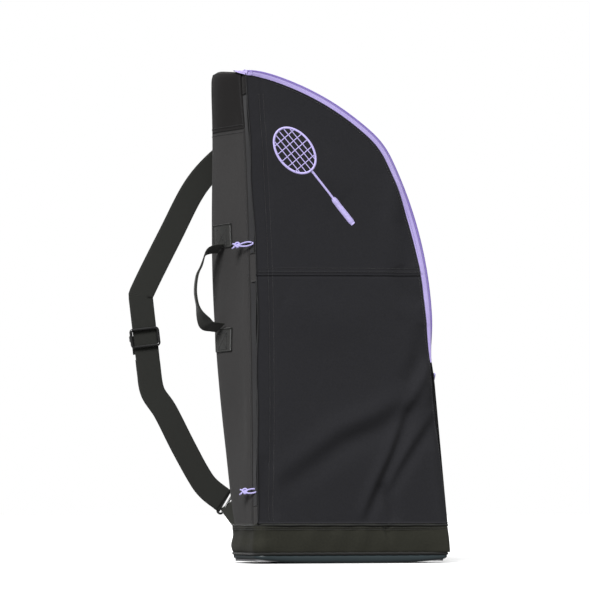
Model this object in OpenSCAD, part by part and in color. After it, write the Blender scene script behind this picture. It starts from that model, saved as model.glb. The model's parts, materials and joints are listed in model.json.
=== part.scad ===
// Racket backpack: a tall soft bag with a curved main zip, two zipped side pockets, a side carry handle
// and two shoulder straps. +Z is up, -Y is the front, the origin is the middle of the base on the floor.

/* [Bag body] */
// Width across the base
bag_w = 303; // [290:1:316]
// Depth from front to back at the base
bag_d = 190; // [180:1:200]
// Height from the floor to the top edge of the main zip
bag_h = 737; // [722:1:752]
// How far the front panel leans back towards the top
front_lean = 50; // [40:1:60]
// How far the left side panel bulges outwards near its rear edge
side_bulge = 17; // [8:1:22]
// Height of the band round the base
band_h = 58; // [52:1:62]
// Thickness of the outer fabric with its backing
fabric_t = 2.5; // [2:0.5:3]
// Height of the cross seam on the front, above the base band
seam_z = 368; // [350:2:380]

/* [Main zip] */
// Radius of the zip's long side arc, measured at the tape's outer edge
side_r = 581; // [570:1:590]
// Radius of the shoulder between the side arc and the top arc
shoulder_r = 120; // [100:5:140]
// Radius of the top arc
top_r = 423; // [415:1:430]
// Width of one zip tape
tape_w = 11; // [9:1:13]
// Gap between the front panel and the rest of the bag where the main zip is open
mouth_gap = 22; // [20:1:26]
// Angle of the open slider below the level of the side arc's centre
slider_rest_angle = 7; // [6:0.5:8]

/* [Side zips] */
// Height of the open upper slider above the base band
upper_slider_z = 415; // [405:5:425]
// Height of the open lower slider above the base band
lower_slider_z = 42; // [36:2:60]

/* [Carry handle] */
// Height of the middle of the handle above the floor
handle_z = 410; // [400:2:418]
// Distance between the handle's two arms
handle_span = 113; // [107:2:119]
// How far the handle stands off the side panel
handle_reach = 45; // [40:1:52]

/* [Shoulder straps] */
// Width of the strap webbing
strap_w = 38; // [34:1:40]
// Thickness of the strap webbing
strap_t = 1.8; // [1.4:0.1:2]
// How far the right strap is folded inwards over the back
right_fold = 165; // [150:5:165]

/* [Hidden] */
$fn = 64;

gap = 0.3;                                  // clearance between sewn neighbours
half_w = bag_w / 2;
half_d = bag_d / 2;
front_h = bag_h - band_h;                   // height of everything above the base band
lean = atan(front_lean / front_h);

// Arcs of the main zip in the front plane, as [x, z] with z measured up from the band.
side_c = [135 - side_r, 296];
top_c = [-225, front_h / cos(lean) - 417];
zip_y = 12;                                 // zip's centre line behind the front plane
rear_inset = 4;                             // the rear outline lies this far inside the tape edge

// Corner radii in plan: the base is a rounded D, and its rear corners tighten towards the top.
base_rear_r = 105;
base_front_r = 16;
upper_rear_r = 32;
taper_z = band_h + 290;                     // height where the rear corners reach their upper radius

// Layers of the padded back.
back_fabric_t = 1.5;
back_foam_t = 5.5;
back_lining_t = 0.8;
back_in_y = half_d - back_fabric_t - back_foam_t - back_lining_t - 2 * gap;

// ---------- Frames and outlines ----------

// The front plane: leans back about the top edge of the base band.
module in_front_plane() {
    translate([0, -half_d, band_h]) rotate([-lean, 0, 0]) children();
}

// Extrudes an XZ outline along Y, from y0 to y1.
module along_y(y0, y1) {
    translate([0, y1, 0]) rotate([90, 0, 0]) linear_extrude(height = y1 - y0) children();
}

function at(c, r, a) = [c[0] + r * cos(a), c[1] + r * sin(a)];
function arc_points(c, r, a0, a1, n) = [for (i = [0:n]) at(c, r, a0 + (a1 - a0) * i / n)];

// Centre of the shoulder arc, which touches the side arc and the top arc from inside.
centre_gap = norm(top_c - side_c);
to_top = atan2(top_c[1] - side_c[1], top_c[0] - side_c[0]);
side_reach = side_r - shoulder_r;
top_reach = top_r - shoulder_r;
shoulder_turn = acos((side_reach * side_reach + centre_gap * centre_gap - top_reach * top_reach)
    / (2 * side_reach * centre_gap));
side_end_a = to_top + shoulder_turn;
shoulder_c = at(side_c, side_reach, side_end_a);
top_start_a = atan2(shoulder_c[1] - top_c[1], shoulder_c[0] - top_c[0]);

// Angle on an arc of radius r at which a line from the base corner touches it.
function touch_angle(r, x0) =
    atan2(-side_c[1], x0 - side_c[0]) + acos(r / norm([x0 - side_c[0], side_c[1]]));

// Front view of the bag: arcs lie `inset` inside the tape's outer edge, straight sides `wall` inside the bag.
function outline(inset, wall, bulge = 0) = concat(
    [[-half_w - bulge + wall, 0], [half_w - wall, 0]],
    arc_points(side_c, side_r - inset, touch_angle(side_r - inset, half_w - wall), side_end_a, 8),
    arc_points(shoulder_c, shoulder_r - inset, side_end_a, top_start_a, 4),
    arc_points(top_c, top_r - inset, top_start_a,
        acos((-half_w - bulge + wall - top_c[0]) / (top_r - inset)), 8));

// Everything more than y behind the front plane.
module behind_front(y) {
    in_front_plane() translate([-300, y, -200]) cube([600, 400, 1200]);
}

// Plan of the base with rounded corners, `inset` inside its outer edge.
module base_plan(inset) {
    w = half_w - inset;
    d = half_d - inset;
    rear_r = base_rear_r - inset;
    front_r = base_front_r - inset;
    difference() {
        square([2 * w, 2 * d], center = true);
        for (side = [-1, 1]) {
            translate([side * (w - rear_r), d - rear_r]) corner_cut(side, 1, rear_r);
            translate([side * (w - front_r), -(d - front_r)]) corner_cut(side, -1, front_r);
        }
    }
}

module corner_cut(sx, sy, r) {
    scale_mirror = [sx < 0 ? 1 : 0, 0, 0];
    mirror(scale_mirror) mirror([0, sy < 0 ? 1 : 0, 0])
        difference() {
            square([r + 1, r + 1]);
            circle(r = r);
        }
}

// ---------- Body panels ----------

module front_outline_part(z0, z1) {
    intersection() {
        polygon(outline(tape_w, 0));
        translate([-half_w - 1, z0]) square([2 * half_w + 2, z1 - z0]);
    }
}

module front_panel_lower() {
    color("#26262b") in_front_plane() along_y(0, fabric_t) front_outline_part(gap, seam_z - gap / 2);
}

module front_panel_upper() {
    color("#232326") in_front_plane() along_y(0, fabric_t) front_outline_part(seam_z + gap / 2, 900);
}

// Printed decoration: a plain racket outline with strings, a shaft and a grip.
print_pos = [-62, 535];
print_turn = -50;
print_head = [40, 29];                      // half length and half width of the racket's head
print_line = 3.4;
module oval(shrink) {
    polygon([for (a = [0:10:350]) [(print_head[0] - shrink) * cos(a), (print_head[1] - shrink) * sin(a)]]);
}

module racket_outline() {
    difference() {
        oval(0);
        oval(print_line);
    }
    intersection() {
        oval(print_line / 2);
        union() {
            for (x = [-24:12:24]) translate([x - 0.7, -print_head[1]]) square([1.4, 2 * print_head[1]]);
            for (y = [-16:8:16]) translate([-print_head[0], y - 0.7]) square([2 * print_head[0], 1.4]);
        }
    }
    translate([print_head[0] - 1, -print_line / 2]) square([54, print_line]);
    translate([print_head[0] + 51, -4.5]) square([50, 9]);
}

module front_print() {
    color("#a99fd6") in_front_plane() along_y(-0.4, -0.05)
        translate(print_pos) rotate(print_turn) translate([-26, 0]) racket_outline();
}

// Plan of the bag's upper part: the left side leans out to a rounded rear corner.
module upper_plan(inset) {
    hull() {
        for (side = [-1, 1])
            translate([side * (half_w - inset - 1), -half_d + inset + 1]) circle(r = 1, $fn = 8);
        translate([-half_w - side_bulge + upper_rear_r, half_d - upper_rear_r]) circle(r = upper_rear_r - inset);
        translate([half_w - upper_rear_r, half_d - upper_rear_r]) circle(r = upper_rear_r - inset);
    }
}

// The bag as one closed form, `inset` inside its outer surface: the base's plan blends into the upper plan,
// and the front view's outline cuts the sides and the top.
module body_form(inset) {
    intersection() {
        hull() {
            translate([0, 0, band_h]) linear_extrude(height = 0.1) base_plan(inset, $fn = 32);
            translate([0, 0, taper_z]) linear_extrude(height = bag_h - taper_z) upper_plan(inset, $fn = 32);
        }
        along_y(-half_d, half_d) translate([0, band_h])
            polygon(outline(rear_inset + inset, inset, side_bulge + 5));
    }
}

// One skin of the bag, in front of the padded back and more than front_y behind the front plane.
module skin(front_y) {
    intersection() {
        difference() {
            body_form(0);
            body_form(fabric_t);
        }
        along_y(-half_d, back_in_y - gap) translate([-300, band_h + gap]) square([600, 900]);
        behind_front(front_y);
        children();
    }
}

side_split_z = band_h + 590;
side_front_y = 17;
module left_side_panel() {
    color("#4a4a4c") skin(side_front_y) translate([-300, -200, 0]) cube([240, 400, side_split_z]);
}

// Room for the main zip's open mouth, in front of the top and of the right side above the zip's lower end.
left_top_x = -half_w + 12;
main_zip_end_z = 155;
module mouth() {
    in_front_plane() {
        translate([left_top_x, -20, main_zip_end_z + 60]) cube([400, mouth_gap + 20, 900]);
        translate([60, -20, main_zip_end_z]) cube([400, mouth_gap + 20, 400]);
    }
}

right_split_z = band_h + 330;
module top_gusset() {
    color("#222124") difference() {
        skin(side_front_y) union() {
            translate([-300, -200, side_split_z + gap]) cube([200, 400, 200]);
            translate([-100.1, -200, right_split_z + gap]) cube([400, 400, 400]);
        }
        mouth();
    }
}

module right_side_panel() {
    color("#222124") difference() {
        skin(fabric_t + gap) translate([60, -200, 0]) cube([200, 400, right_split_z]);
        mouth();
    }
}

module back_layer(y0, y1, inset) {
    intersection() {
        body_form(inset);
        along_y(y0, y1) translate([-300, band_h + gap]) square([600, 900]);
    }
}

module back_panel_fabric() {
    color("#1f1f21") back_layer(half_d - back_fabric_t, half_d, 0);
}

module back_panel_foam() {
    foam_rear = half_d - back_fabric_t - gap;
    color("#55555a") back_layer(foam_rear - back_foam_t, foam_rear, 1.2);
}

module back_panel_lining() {
    color("#3a3a3d") back_layer(back_in_y, back_in_y + back_lining_t, 0);
}

// ---------- Base ----------

sheet_t = 2.6;
board_t = 3;
tray_h = 12;
piping_h = 3;
module base_tray() {
    color("#323a3d") difference() {
        linear_extrude(height = tray_h) base_plan(0);
        translate([0, 0, sheet_t]) linear_extrude(height = tray_h) base_plan(sheet_t);
    }
}

module base_board() {
    color("#5b5b5b") translate([0, 0, sheet_t + gap]) linear_extrude(height = board_t)
        base_plan(sheet_t + gap);
}

module base_piping() {
    color("#1d1e1c") translate([0, 0, tray_h + gap]) linear_extrude(height = piping_h)
        difference() {
            base_plan(-1.5);
            base_plan(1);
        }
}

module base_band() {
    band_foot = tray_h + piping_h + 2 * gap;
    color("#30312b") translate([0, 0, band_foot]) linear_extrude(height = band_h - band_foot)
        difference() {
            base_plan(0);
            base_plan(fabric_t);
        }
}

// ---------- Inner pocket walls ----------

divider_y = 18;
divider_t = 1.2;
divider_x = 78;
divider_front = [106, -86];
module pocket_divider() {
    color("#3b3b40") intersection() {
        translate([0, 0, 12]) linear_extrude(height = 640) polygon([
            [-half_w + 8, divider_y], [divider_x, divider_y], divider_front,
            divider_front + [1.4, 0], [divider_x + 1, divider_y + divider_t],
            [-half_w + 8, divider_y + divider_t]
        ]);
        along_y(-half_d, half_d) translate([0, 10]) polygon(outline(rear_inset + 14, 8));
        behind_front(fabric_t + gap);
    }
}

shelf_z = band_h + seam_z;
module pocket_shelf() {
    color("#3b3b40") intersection() {
        translate([-half_w + 4, -half_d, shelf_z])
            cube([half_w + divider_x - 4, half_d + divider_y - gap, divider_t]);
        behind_front(side_front_y + 1);
    }
}

// ---------- Main zip ----------

// Path along the whole zip: side arc, shoulder arc and top arc, `inset` inside the tape's outer edge.
zip_end_a = acos((-half_w + 1 - top_c[0]) / (top_r - tape_w));
function zip_path(inset, start_a) = concat(
    arc_points(side_c, side_r - inset, start_a, side_end_a, 20),
    arc_points(shoulder_c, shoulder_r - inset, side_end_a, top_start_a, 8),
    arc_points(top_c, top_r - inset, top_start_a, zip_end_a, 14));
function reversed(list) = [for (i = [len(list) - 1:-1:0]) list[i]];

// One band along the zip between two insets, from y0 to y1 behind the front plane.
module zip_band(outer_inset, inner_inset, start_a, y0, y1) {
    along_y(y0, y1)
        polygon(concat(zip_path(outer_inset, start_a), reversed(zip_path(inner_inset, start_a))));
}

teeth_w = 2.2;
teeth_t = 1.8;
tape_t = 0.9;
tape_start_a = -5.5;

// The front panel's straight right edge, which runs past the zip's lower end.
module front_edge_clearance() {
    edge_r = side_r - tape_w + gap;
    along_y(-1, 4) polygon([[0, 0], [half_w + gap, 0], at(side_c, edge_r, touch_angle(edge_r, half_w)), [0, 300]]);
}

module main_zip_front_tape() {
    color("#a596d0") in_front_plane() difference() {
        zip_band(teeth_w, tape_w - gap, tape_start_a, gap, gap + tape_t);
        front_edge_clearance();
    }
}

module main_zip_front_teeth() {
    color("#6f5c9c") in_front_plane() difference() {
        zip_band(0, teeth_w - 0.02, tape_start_a, 0, teeth_t);
        front_edge_clearance();
    }
}

rear_teeth_y = zip_y + 2;
module main_zip_rear_tape() {
    color("#a596d0") in_front_plane()
        zip_band(rear_inset, rear_inset + tape_t, tape_start_a + 3.5, rear_teeth_y + 0.02, mouth_gap - gap);
}

module main_zip_rear_teeth() {
    color("#6f5c9c") in_front_plane()
        zip_band(rear_inset - 0.5, rear_inset + 1.3, tape_start_a + 3.5, rear_teeth_y - teeth_w, rear_teeth_y);
}

// Where the zip starts, both tapes are folded over and sewn together on the top of the left side.
module main_zip_start_tape() {
    start_x = -half_w + 1.5;
    color("#a596d0") in_front_plane() intersection() {
        along_y(gap + tape_t + gap, rear_teeth_y - teeth_w - gap) polygon(concat(
            [for (i = [0:4]) at(top_c, top_r - 5, zip_end_a - 1.9 * i / 4)],
            [for (i = [4:-1:0]) at(top_c, top_r - 5 - tape_t, zip_end_a - 1.9 * i / 4)]));
        translate([start_x, 0, 0]) cube([200, 30, 900]);
    }
}

module main_zip_end_stop() {
    color("#2a2a2c") in_front_plane() translate([side_c[0], 0, side_c[1]])
        rotate([0, slider_rest_angle + 2, 0]) translate([side_r - 6, zip_y - 4, -2.5]) cube([4, 8, 5]);
}

// ---------- Sliders and cord pulls ----------

slider_len = 14;
slider_w = 10;
slider_t = 5;
bail_r = 3.2;
bail_wire = 0.9;

// A zip slider at the origin: travels along Z, lies across Y, and its bail stands out along +X.
module slider_body() {
    intersection() {
        translate([0, -slider_w / 2, -slider_len / 2]) cube([slider_t, slider_w, slider_len]);
        rotate([0, 90, 0]) cylinder(r = slider_len * 0.56, h = slider_t);
    }
    translate([slider_t, 0, 0]) rotate([90, 0, 0]) difference() {
        cylinder(r = bail_r, h = 2.4, center = true);
        cylinder(r = bail_r - 2 * bail_wire, h = 3, center = true);
        translate([-10 - 0.4, -5, -5]) cube([10, 10, 10]);
    }
}

cord_r = 1.25;
cord_len = 30;
knot_r = 4.2;
tail_len = 12;

// A knotted cord pull: two strands run along +X from the bail to a knot, and two cut tails follow it.
module cord_pull() {
    spread = 5;
    for (side = [-1, 1]) {
        rotate([0, 0, side * spread]) translate([1.5, 0, 0]) rotate([0, 90, 0]) cylinder(r = cord_r, h = cord_len);
        translate([cord_len - 1, 0, 0]) rotate([0, 0, side * 16]) rotate([0, 90, 0])
            cylinder(r = cord_r, h = tail_len);
    }
    translate([cord_len, 0, 0]) sphere(r = knot_r);
}

main_slider_r = side_r + 0.5;
module at_main_slider() {
    in_front_plane() translate([side_c[0], 0, side_c[1]]) rotate([0, slider_rest_angle, 0])
        translate([main_slider_r, zip_y, 0]) children();
}

module main_zip_slider() { color("#2a2a2c") at_main_slider() slider_body(); }

main_cord_drop = 75;
cord_start = slider_t + bail_r + 2;     // where a cord pull pivots
module main_zip_cord() {
    color("#b9aee6") at_main_slider() translate([cord_start, 0, 0])
        rotate([0, main_cord_drop, 0]) rotate([0, 0, 28]) cord_pull();
}

side_slider_x = -half_w - 0.3;
side_slider_y = 9;
module at_side_slider(z) {
    in_front_plane() translate([side_slider_x, side_slider_y, z]) mirror([1, 0, 0]) children();
}

side_cord_turn = 60;
module side_slider(z) { color("#2a2a2c") at_side_slider(z) slider_body(); }
module side_cord(z) {
    color("#b9aee6") at_side_slider(z) translate([cord_start, 0, 0]) rotate([0, 0, side_cord_turn]) cord_pull();
}

module upper_pocket_zip_slider() { side_slider(upper_slider_z); }
module upper_pocket_zip_cord() { side_cord(upper_slider_z); }
module lower_pocket_zip_slider() { side_slider(lower_slider_z); }
module lower_pocket_zip_cord() { side_cord(lower_slider_z); }

// ---------- Side zips ----------

upper_zip_z = [upper_slider_z - 14, 640];
lower_zip_z = [lower_slider_z - 14, seam_z - 8];

// The open front half lies flat behind the front panel's edge.
module pocket_zip_front_tape(z) {
    color("#232326") in_front_plane()
        translate([-half_w + 2, fabric_t + gap, z[0]]) cube([tape_w, tape_t, z[1] - z[0]]);
}

// The rear half is sewn along the side panel's front edge.
module pocket_zip_rear_tape(z) {
    color("#3c3c3f") in_front_plane()
        translate([-half_w + 0.8, side_front_y - gap - 7, z[0]]) cube([tape_t, 7, z[1] - z[0]]);
}

module pocket_zip_teeth(z) {
    color("#1c1c1e") in_front_plane() {
        translate([-half_w + 2 + tape_w, fabric_t + gap, z[0]]) cube([teeth_w, teeth_t, z[1] - z[0]]);
        translate([-half_w + 0.4, side_front_y - gap - 7 - teeth_w, z[0]]) cube([teeth_t, teeth_w, z[1] - z[0]]);
    }
}

module upper_pocket_zip_front_tape() { pocket_zip_front_tape(upper_zip_z); }
module upper_pocket_zip_rear_tape() { pocket_zip_rear_tape(upper_zip_z); }
module upper_pocket_zip_teeth() { pocket_zip_teeth(upper_zip_z); }
module lower_pocket_zip_front_tape() { pocket_zip_front_tape(lower_zip_z); }
module lower_pocket_zip_rear_tape() { pocket_zip_rear_tape(lower_zip_z); }
module lower_pocket_zip_teeth() { pocket_zip_teeth(lower_zip_z); }

// ---------- Carry handle ----------

patch_w = 38;
patch_h = 34;
patch_t = 1.5;
patch_gap = 5;                              // from an arm's middle to its patch

handle_root_x = -patch_t - gap - 2.2;       // the handle swings about this line

// Handle frame: -X leaves the left side panel squarely, Z is up, the origin is on the panel's outer face.
handle_y = 27;
side_lean = atan(side_bulge / (bag_d - upper_rear_r));
module at_handle() {
    lean_x = (handle_y + half_d) * tan(side_lean);
    translate([-half_w - lean_x, handle_y, handle_z]) rotate([0, 0, side_lean]) children();
}

module handle_patches() {
    color("#2c2d29") at_handle() for (side = [-1, 1])
        translate([-patch_t - gap, -patch_w / 2, side * (handle_span / 2 + patch_gap + patch_h / 2) - patch_h / 2])
            cube([patch_t, patch_w, patch_h]);
}

// Half of the handle's outline: an arm that leaves the panel level, then a slope out to the grip.
function handle_edge(out) = [
    [0, handle_span / 2 + out], [-handle_reach * 0.62 - out, handle_span / 2 + out],
    [-handle_reach * 0.94 - out, handle_span * 0.24], [-handle_reach - out, 0]
];
function flip_z(points) = [for (p = reversed(points)) [p[0], -p[1]]];
module handle_ring(arm) {
    outer = handle_edge(arm / 2);
    inner = handle_edge(-arm / 2);
    difference() {
        polygon(concat(outer, flip_z(outer)));
        translate([0.01, 0]) polygon(concat(inner, flip_z(inner)));
    }
}

module handle_webbing() {
    grip_w = 20;
    color("#2c2d29") at_handle() translate([handle_root_x, 0, 0]) {
        along_y(-2, 2) handle_ring(9);
        along_y(-grip_w / 2, grip_w / 2) intersection() {
            handle_ring(4);
            translate([-100, -handle_span * 0.3]) square([100, handle_span * 0.6]);
        }
    }
}

// ---------- Shoulder straps ----------
// Both straps share one shape: the left one spread out beside the bag, the right one its mirror image
// folded inwards over the back.

strap_y = half_d + 3.5;                      // middle of the main webbing
strap_axis_y = strap_y + 3.1;                // middle of the ring, on the swing axis
swing_foot = [-124, strap_axis_y, 66];
swing_top = [-62, strap_axis_y, 656];
swing_len = norm(swing_top - swing_foot);
left_tilt = atan2(swing_top[0] - swing_foot[0], swing_top[2] - swing_foot[2]);
right_top_x = 10;
right_tilt = asin((-swing_foot[0] - right_top_x) / swing_len);

strap_upper_path = [[-80, 654], [-128, 624], [-180, 572], [-221, 496], [-252, 436]];
straight_top = [-269, 401];
straight_foot = [-251, 256];
straight_dir = (straight_foot - straight_top) / norm(straight_foot - straight_top);
strap_lower_path = [[-222, 206], [-180, 140]];
ring_pos = [-137, 90];
ring_dir = [0.85, -0.52];                    // way the strap runs into the ring
ring_bar = 8;                                // from the ring's middle to each bar
ring_entry = ring_pos - ring_dir * ring_bar;

// Catmull-Rom curve through points, which needs one guide point before and one after.
function catmull(p0, p1, p2, p3, t) =
    0.5 * (2 * p1 + (p2 - p0) * t + (2 * p0 - 5 * p1 + 4 * p2 - p3) * t * t
        + (3 * p1 - p0 - 3 * p2 + p3) * t * t * t);
function smooth(points, n) = [
    for (i = [1:len(points) - 3]) for (k = [0:n - 1])
        catmull(points[i - 1], points[i], points[i + 1], points[i + 2], k / n)
];
function edge_dir(path, i) =
    let (a = path[max(i - 1, 0)], b = path[min(i + 1, len(path) - 1)]) (b - a) / norm(b - a);
function side_edge(path, off) = [
    for (i = [0:len(path) - 1])
        let (d = edge_dir(path, i)) path[i] + off * [-d[1], d[0]]
];
module ribbon(path, w) {
    right = side_edge(path, -w / 2);
    polygon(concat(side_edge(path, w / 2), [for (i = [len(right) - 1:-1:0]) right[i]]));
}

lower_curve = concat(
    smooth(concat([straight_top, straight_foot], strap_lower_path, [ring_entry, ring_entry + ring_dir * 40]), 5),
    [ring_entry]);
full_curve = concat(
    smooth(concat([strap_upper_path[0] + [30, 12]], strap_upper_path, [straight_top, straight_foot]), 5),
    [straight_top], lower_curve);

// The webbing turns round the ring's upper bar, and its free end runs back up behind the main strand.
strand_gap = 2 * (strap_axis_y - strap_y);
return_top = straight_top + straight_dir * 96;
module strap_webbing() {
    along_y(strap_y - strap_t / 2, strap_y + strap_t / 2) ribbon(full_curve, strap_w);
    along_y(strap_y + strand_gap - strap_t / 2, strap_y + strand_gap + strap_t / 2)
        ribbon(concat([return_top], lower_curve), strap_w - 2);
    at_ring() translate([0, 0, -ring_bar]) web_turn(strap_w - 3);
}

// Ring frame: Z runs along the strap into the ring, X along the bars, Y through the webbing.
module at_ring() {
    translate([ring_pos[0], strap_axis_y, ring_pos[1]])
        rotate([0, atan2(ring_dir[0], ring_dir[1]), 0]) children();
}

// Webbing turned half round a bar at the origin, with short legs that merge into both strands.
module web_turn(w) {
    leg = 6;
    r_mid = strand_gap / 2;
    half_t = strap_t * 0.45;
    rotate([0, 90, 0]) linear_extrude(height = w, center = true) {
        difference() {
            circle(r = r_mid + half_t);
            circle(r = r_mid - half_t);
            translate([0, -20]) square([40, 40]);
        }
        for (side = [-1, 1]) translate([-0.01, side * r_mid - half_t]) square([leg, 2 * half_t]);
    }
}

ring_wire = 1.6;
module strap_ring() {
    side_x = strap_w / 2 + 3;
    at_ring() {
        for (side = [-1, 1]) {
            translate([0, 0, side * ring_bar]) rotate([0, 90, 0])
                cylinder(r = ring_wire, h = 2 * side_x, center = true);
            translate([side * side_x, 0, 0]) cylinder(r = ring_wire, h = 2 * ring_bar, center = true);
            for (end = [-1, 1]) translate([side * side_x, 0, end * ring_bar]) sphere(r = ring_wire);
        }
    }
}

// Short webbing from the base seam, which stops just short of the ring's lower bar.
tab_w = 24;
tab_foot_y = half_d - 6;
tab_top_y = strap_axis_y - 3;
module strap_tab(foot_x, top_x) {
    foot = [foot_x, tab_foot_y, band_h - 6];
    run = [top_x, tab_top_y, ring_pos[1] - 9] - foot;
    translate(foot) rotate([0, atan2(run[0], run[2]), 0]) rotate([-asin(run[1] / norm(run)), 0, 0])
        translate([-tab_w / 2, -strap_t / 2, 0]) cube([tab_w, strap_t, norm(run)]);
}

// Adjuster frame: Z runs down the straight stretch, X across it, -Y is the outer face.
adjuster_pos = straight_top + straight_dir * 64;
module at_adjuster() {
    translate([adjuster_pos[0], strap_y, adjuster_pos[1]])
        rotate([0, atan2(straight_dir[0], straight_dir[1]), 0]) children();
}

adj_bar = 13;
adj_rod = 2.2;
adj_front = strap_t / 2 + adj_rod + 0.4;
adj_rear = strap_t / 2 + strap_t + adj_rod + 0.9;
module strap_adjuster() {
    side_x = strap_w / 2 + 3;
    at_adjuster() {
        for (end = [-1, 1])
            translate([0, -adj_front, end * adj_bar]) rotate([0, 90, 0])
                cylinder(r = adj_rod, h = 2 * side_x, center = true);
        translate([0, adj_rear, 0]) rotate([0, 90, 0]) cylinder(r = adj_rod, h = 2 * side_x, center = true);
        for (side = [-1, 1])
            translate([side * side_x - 1.8, -adj_front - adj_rod, -adj_bar - adj_rod])
                cube([3.6, adj_front + adj_rear + 2 * adj_rod, 2 * (adj_bar + adj_rod)]);
    }
}

// The webbing's end, turned round the adjuster's middle bar and sewn to itself.
module strap_end_loop() {
    loop_r = adj_rod + 0.15;
    loop_len = 24;
    at_adjuster() translate([0, adj_rear, 0]) {
        rotate([0, 90, 0]) difference() {
            cylinder(r = loop_r + strap_t * 0.8, h = strap_w - 2, center = true);
            cylinder(r = loop_r, h = strap_w, center = true);
            translate([-20, -20, -strap_w]) cube([20, 40, 2 * strap_w]);
        }
    }
    at_adjuster() translate([0, adj_rear, 0]) for (side = [-1, 1])
        translate([-(strap_w - 2) / 2, side > 0 ? loop_r : -loop_r - strap_t * 0.8, 0])
            cube([strap_w - 2, strap_t * 0.8, loop_len]);
}

// Moves left strap parts to the right: mirrored, tilted to the right anchor and folded over the back.
module right_strap() {
    foot = [-swing_foot[0], swing_foot[1], swing_foot[2]];
    translate(foot) rotate(a = right_fold, v = [-sin(right_tilt), 0, cos(right_tilt)])
        rotate([0, left_tilt - right_tilt, 0]) mirror([1, 0, 0]) translate(-swing_foot) children();
}

webbing_color = "#2c2d29";
module left_strap_webbing() { color(webbing_color) strap_webbing(); }
module left_strap_ring() { color("#151515") strap_ring(); }
module left_strap_adjuster() { color("#151515") strap_adjuster(); }
module left_strap_end_loop() { color(webbing_color) strap_end_loop(); }
module left_strap_tab() { color("#34352f") strap_tab(-104, -126); }
module right_strap_webbing() { color(webbing_color) right_strap() strap_webbing(); }
module right_strap_ring() { color("#151515") right_strap() strap_ring(); }
module right_strap_adjuster() { color("#151515") right_strap() strap_adjuster(); }
module right_strap_end_loop() { color(webbing_color) right_strap() strap_end_loop(); }
module right_strap_tab() { color("#34352f") strap_tab(100, 111); }

// Reinforcement on the upper back that both straps are sewn to.
module strap_anchor_patch() {
    color("#2c2d29") along_y(half_d + 0.2, half_d + 1.6) intersection() {
        translate([-104, 624]) square([150, 46]);
        translate([0, band_h]) polygon(outline(rear_inset + 5, 5));
    }
}

// ---------- Nodes ----------

front_panel_lower();
front_panel_upper();
front_print();
left_side_panel();
top_gusset();
right_side_panel();
back_panel_fabric();
back_panel_foam();
back_panel_lining();
base_band();
base_tray();
base_board();
base_piping();
pocket_divider();
pocket_shelf();
main_zip_start_tape();
main_zip_front_tape();
main_zip_front_teeth();
main_zip_rear_tape();
main_zip_rear_teeth();
main_zip_end_stop();
main_zip_slider();
main_zip_cord();
upper_pocket_zip_front_tape();
upper_pocket_zip_rear_tape();
upper_pocket_zip_teeth();
upper_pocket_zip_slider();
upper_pocket_zip_cord();
lower_pocket_zip_front_tape();
lower_pocket_zip_rear_tape();
lower_pocket_zip_teeth();
lower_pocket_zip_slider();
lower_pocket_zip_cord();
handle_patches();
handle_webbing();
strap_anchor_patch();
left_strap_tab();
left_strap_webbing();
left_strap_ring();
left_strap_adjuster();
left_strap_end_loop();
right_strap_tab();
right_strap_webbing();
right_strap_ring();
right_strap_adjuster();
right_strap_end_loop();
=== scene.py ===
"""Racket backpack: the looks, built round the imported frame. Every length is in metres."""
import json
import math

import bpy
import numpy as np
from mathutils import Matrix, Vector


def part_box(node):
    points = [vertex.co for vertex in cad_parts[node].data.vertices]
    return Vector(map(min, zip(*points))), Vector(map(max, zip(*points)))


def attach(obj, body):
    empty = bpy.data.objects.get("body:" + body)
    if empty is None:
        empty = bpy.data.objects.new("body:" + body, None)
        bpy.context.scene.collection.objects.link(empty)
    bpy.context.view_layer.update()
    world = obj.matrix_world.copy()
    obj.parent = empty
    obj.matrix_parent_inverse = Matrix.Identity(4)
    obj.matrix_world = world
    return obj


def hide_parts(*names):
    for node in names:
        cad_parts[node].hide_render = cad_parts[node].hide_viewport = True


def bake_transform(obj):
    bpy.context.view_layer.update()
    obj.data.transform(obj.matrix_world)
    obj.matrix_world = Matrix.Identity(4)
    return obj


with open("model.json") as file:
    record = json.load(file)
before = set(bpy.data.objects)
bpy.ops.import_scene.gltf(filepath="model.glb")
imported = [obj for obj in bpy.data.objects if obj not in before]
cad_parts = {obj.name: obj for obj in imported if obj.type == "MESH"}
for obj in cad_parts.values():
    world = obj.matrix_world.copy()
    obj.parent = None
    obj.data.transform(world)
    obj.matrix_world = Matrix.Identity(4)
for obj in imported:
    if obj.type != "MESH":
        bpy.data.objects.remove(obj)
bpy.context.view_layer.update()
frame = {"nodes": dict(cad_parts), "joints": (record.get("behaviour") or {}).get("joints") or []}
TAU = 2 * math.pi

# ---------- Driving dimensions, shared with the CAD source ----------

BAND_LOW, BAND_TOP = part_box("base_band")[0].z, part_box("base_band")[1].z
HALF_W, HALF_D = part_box("base_band")[1].x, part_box("base_band")[1].y
BAG_H = 0.737
FRONT_LEAN = 0.050                # how far the front leans back between the base band and the top
FABRIC = 0.0022
SEAM_Z = 0.368                    # cross seam, above the base band
SIDE_R, SHOULDER_R, TOP_R = 0.581, 0.120, 0.423    # the front view's three arcs
TAPE_W = 0.011
MOUTH_GAP = 0.022                 # the open zip's mouth, between the front panel and the sides
SIDE_FRONT_Y = 0.017              # the left side panel starts this far behind the front plane
REAR_INSET = 0.004                # the sides lie this far inside the front panel's outline
SIDE_SPLIT_Z = 0.590              # the left side panel ends and the top begins
RIGHT_SPLIT_Z = 0.330             # the top ends and the right side panel begins
SEAM_Y = 0.088                    # where the sides meet the padded back

FRONT_H = BAG_H - BAND_TOP
LEAN = math.atan2(FRONT_LEAN, FRONT_H)
LEAN_C, LEAN_S = math.cos(LEAN), math.sin(LEAN)
SIDE_C = np.array([0.135 - SIDE_R, 0.296])
TOP_C = np.array([-0.225, FRONT_H / LEAN_C - 0.417])


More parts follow.
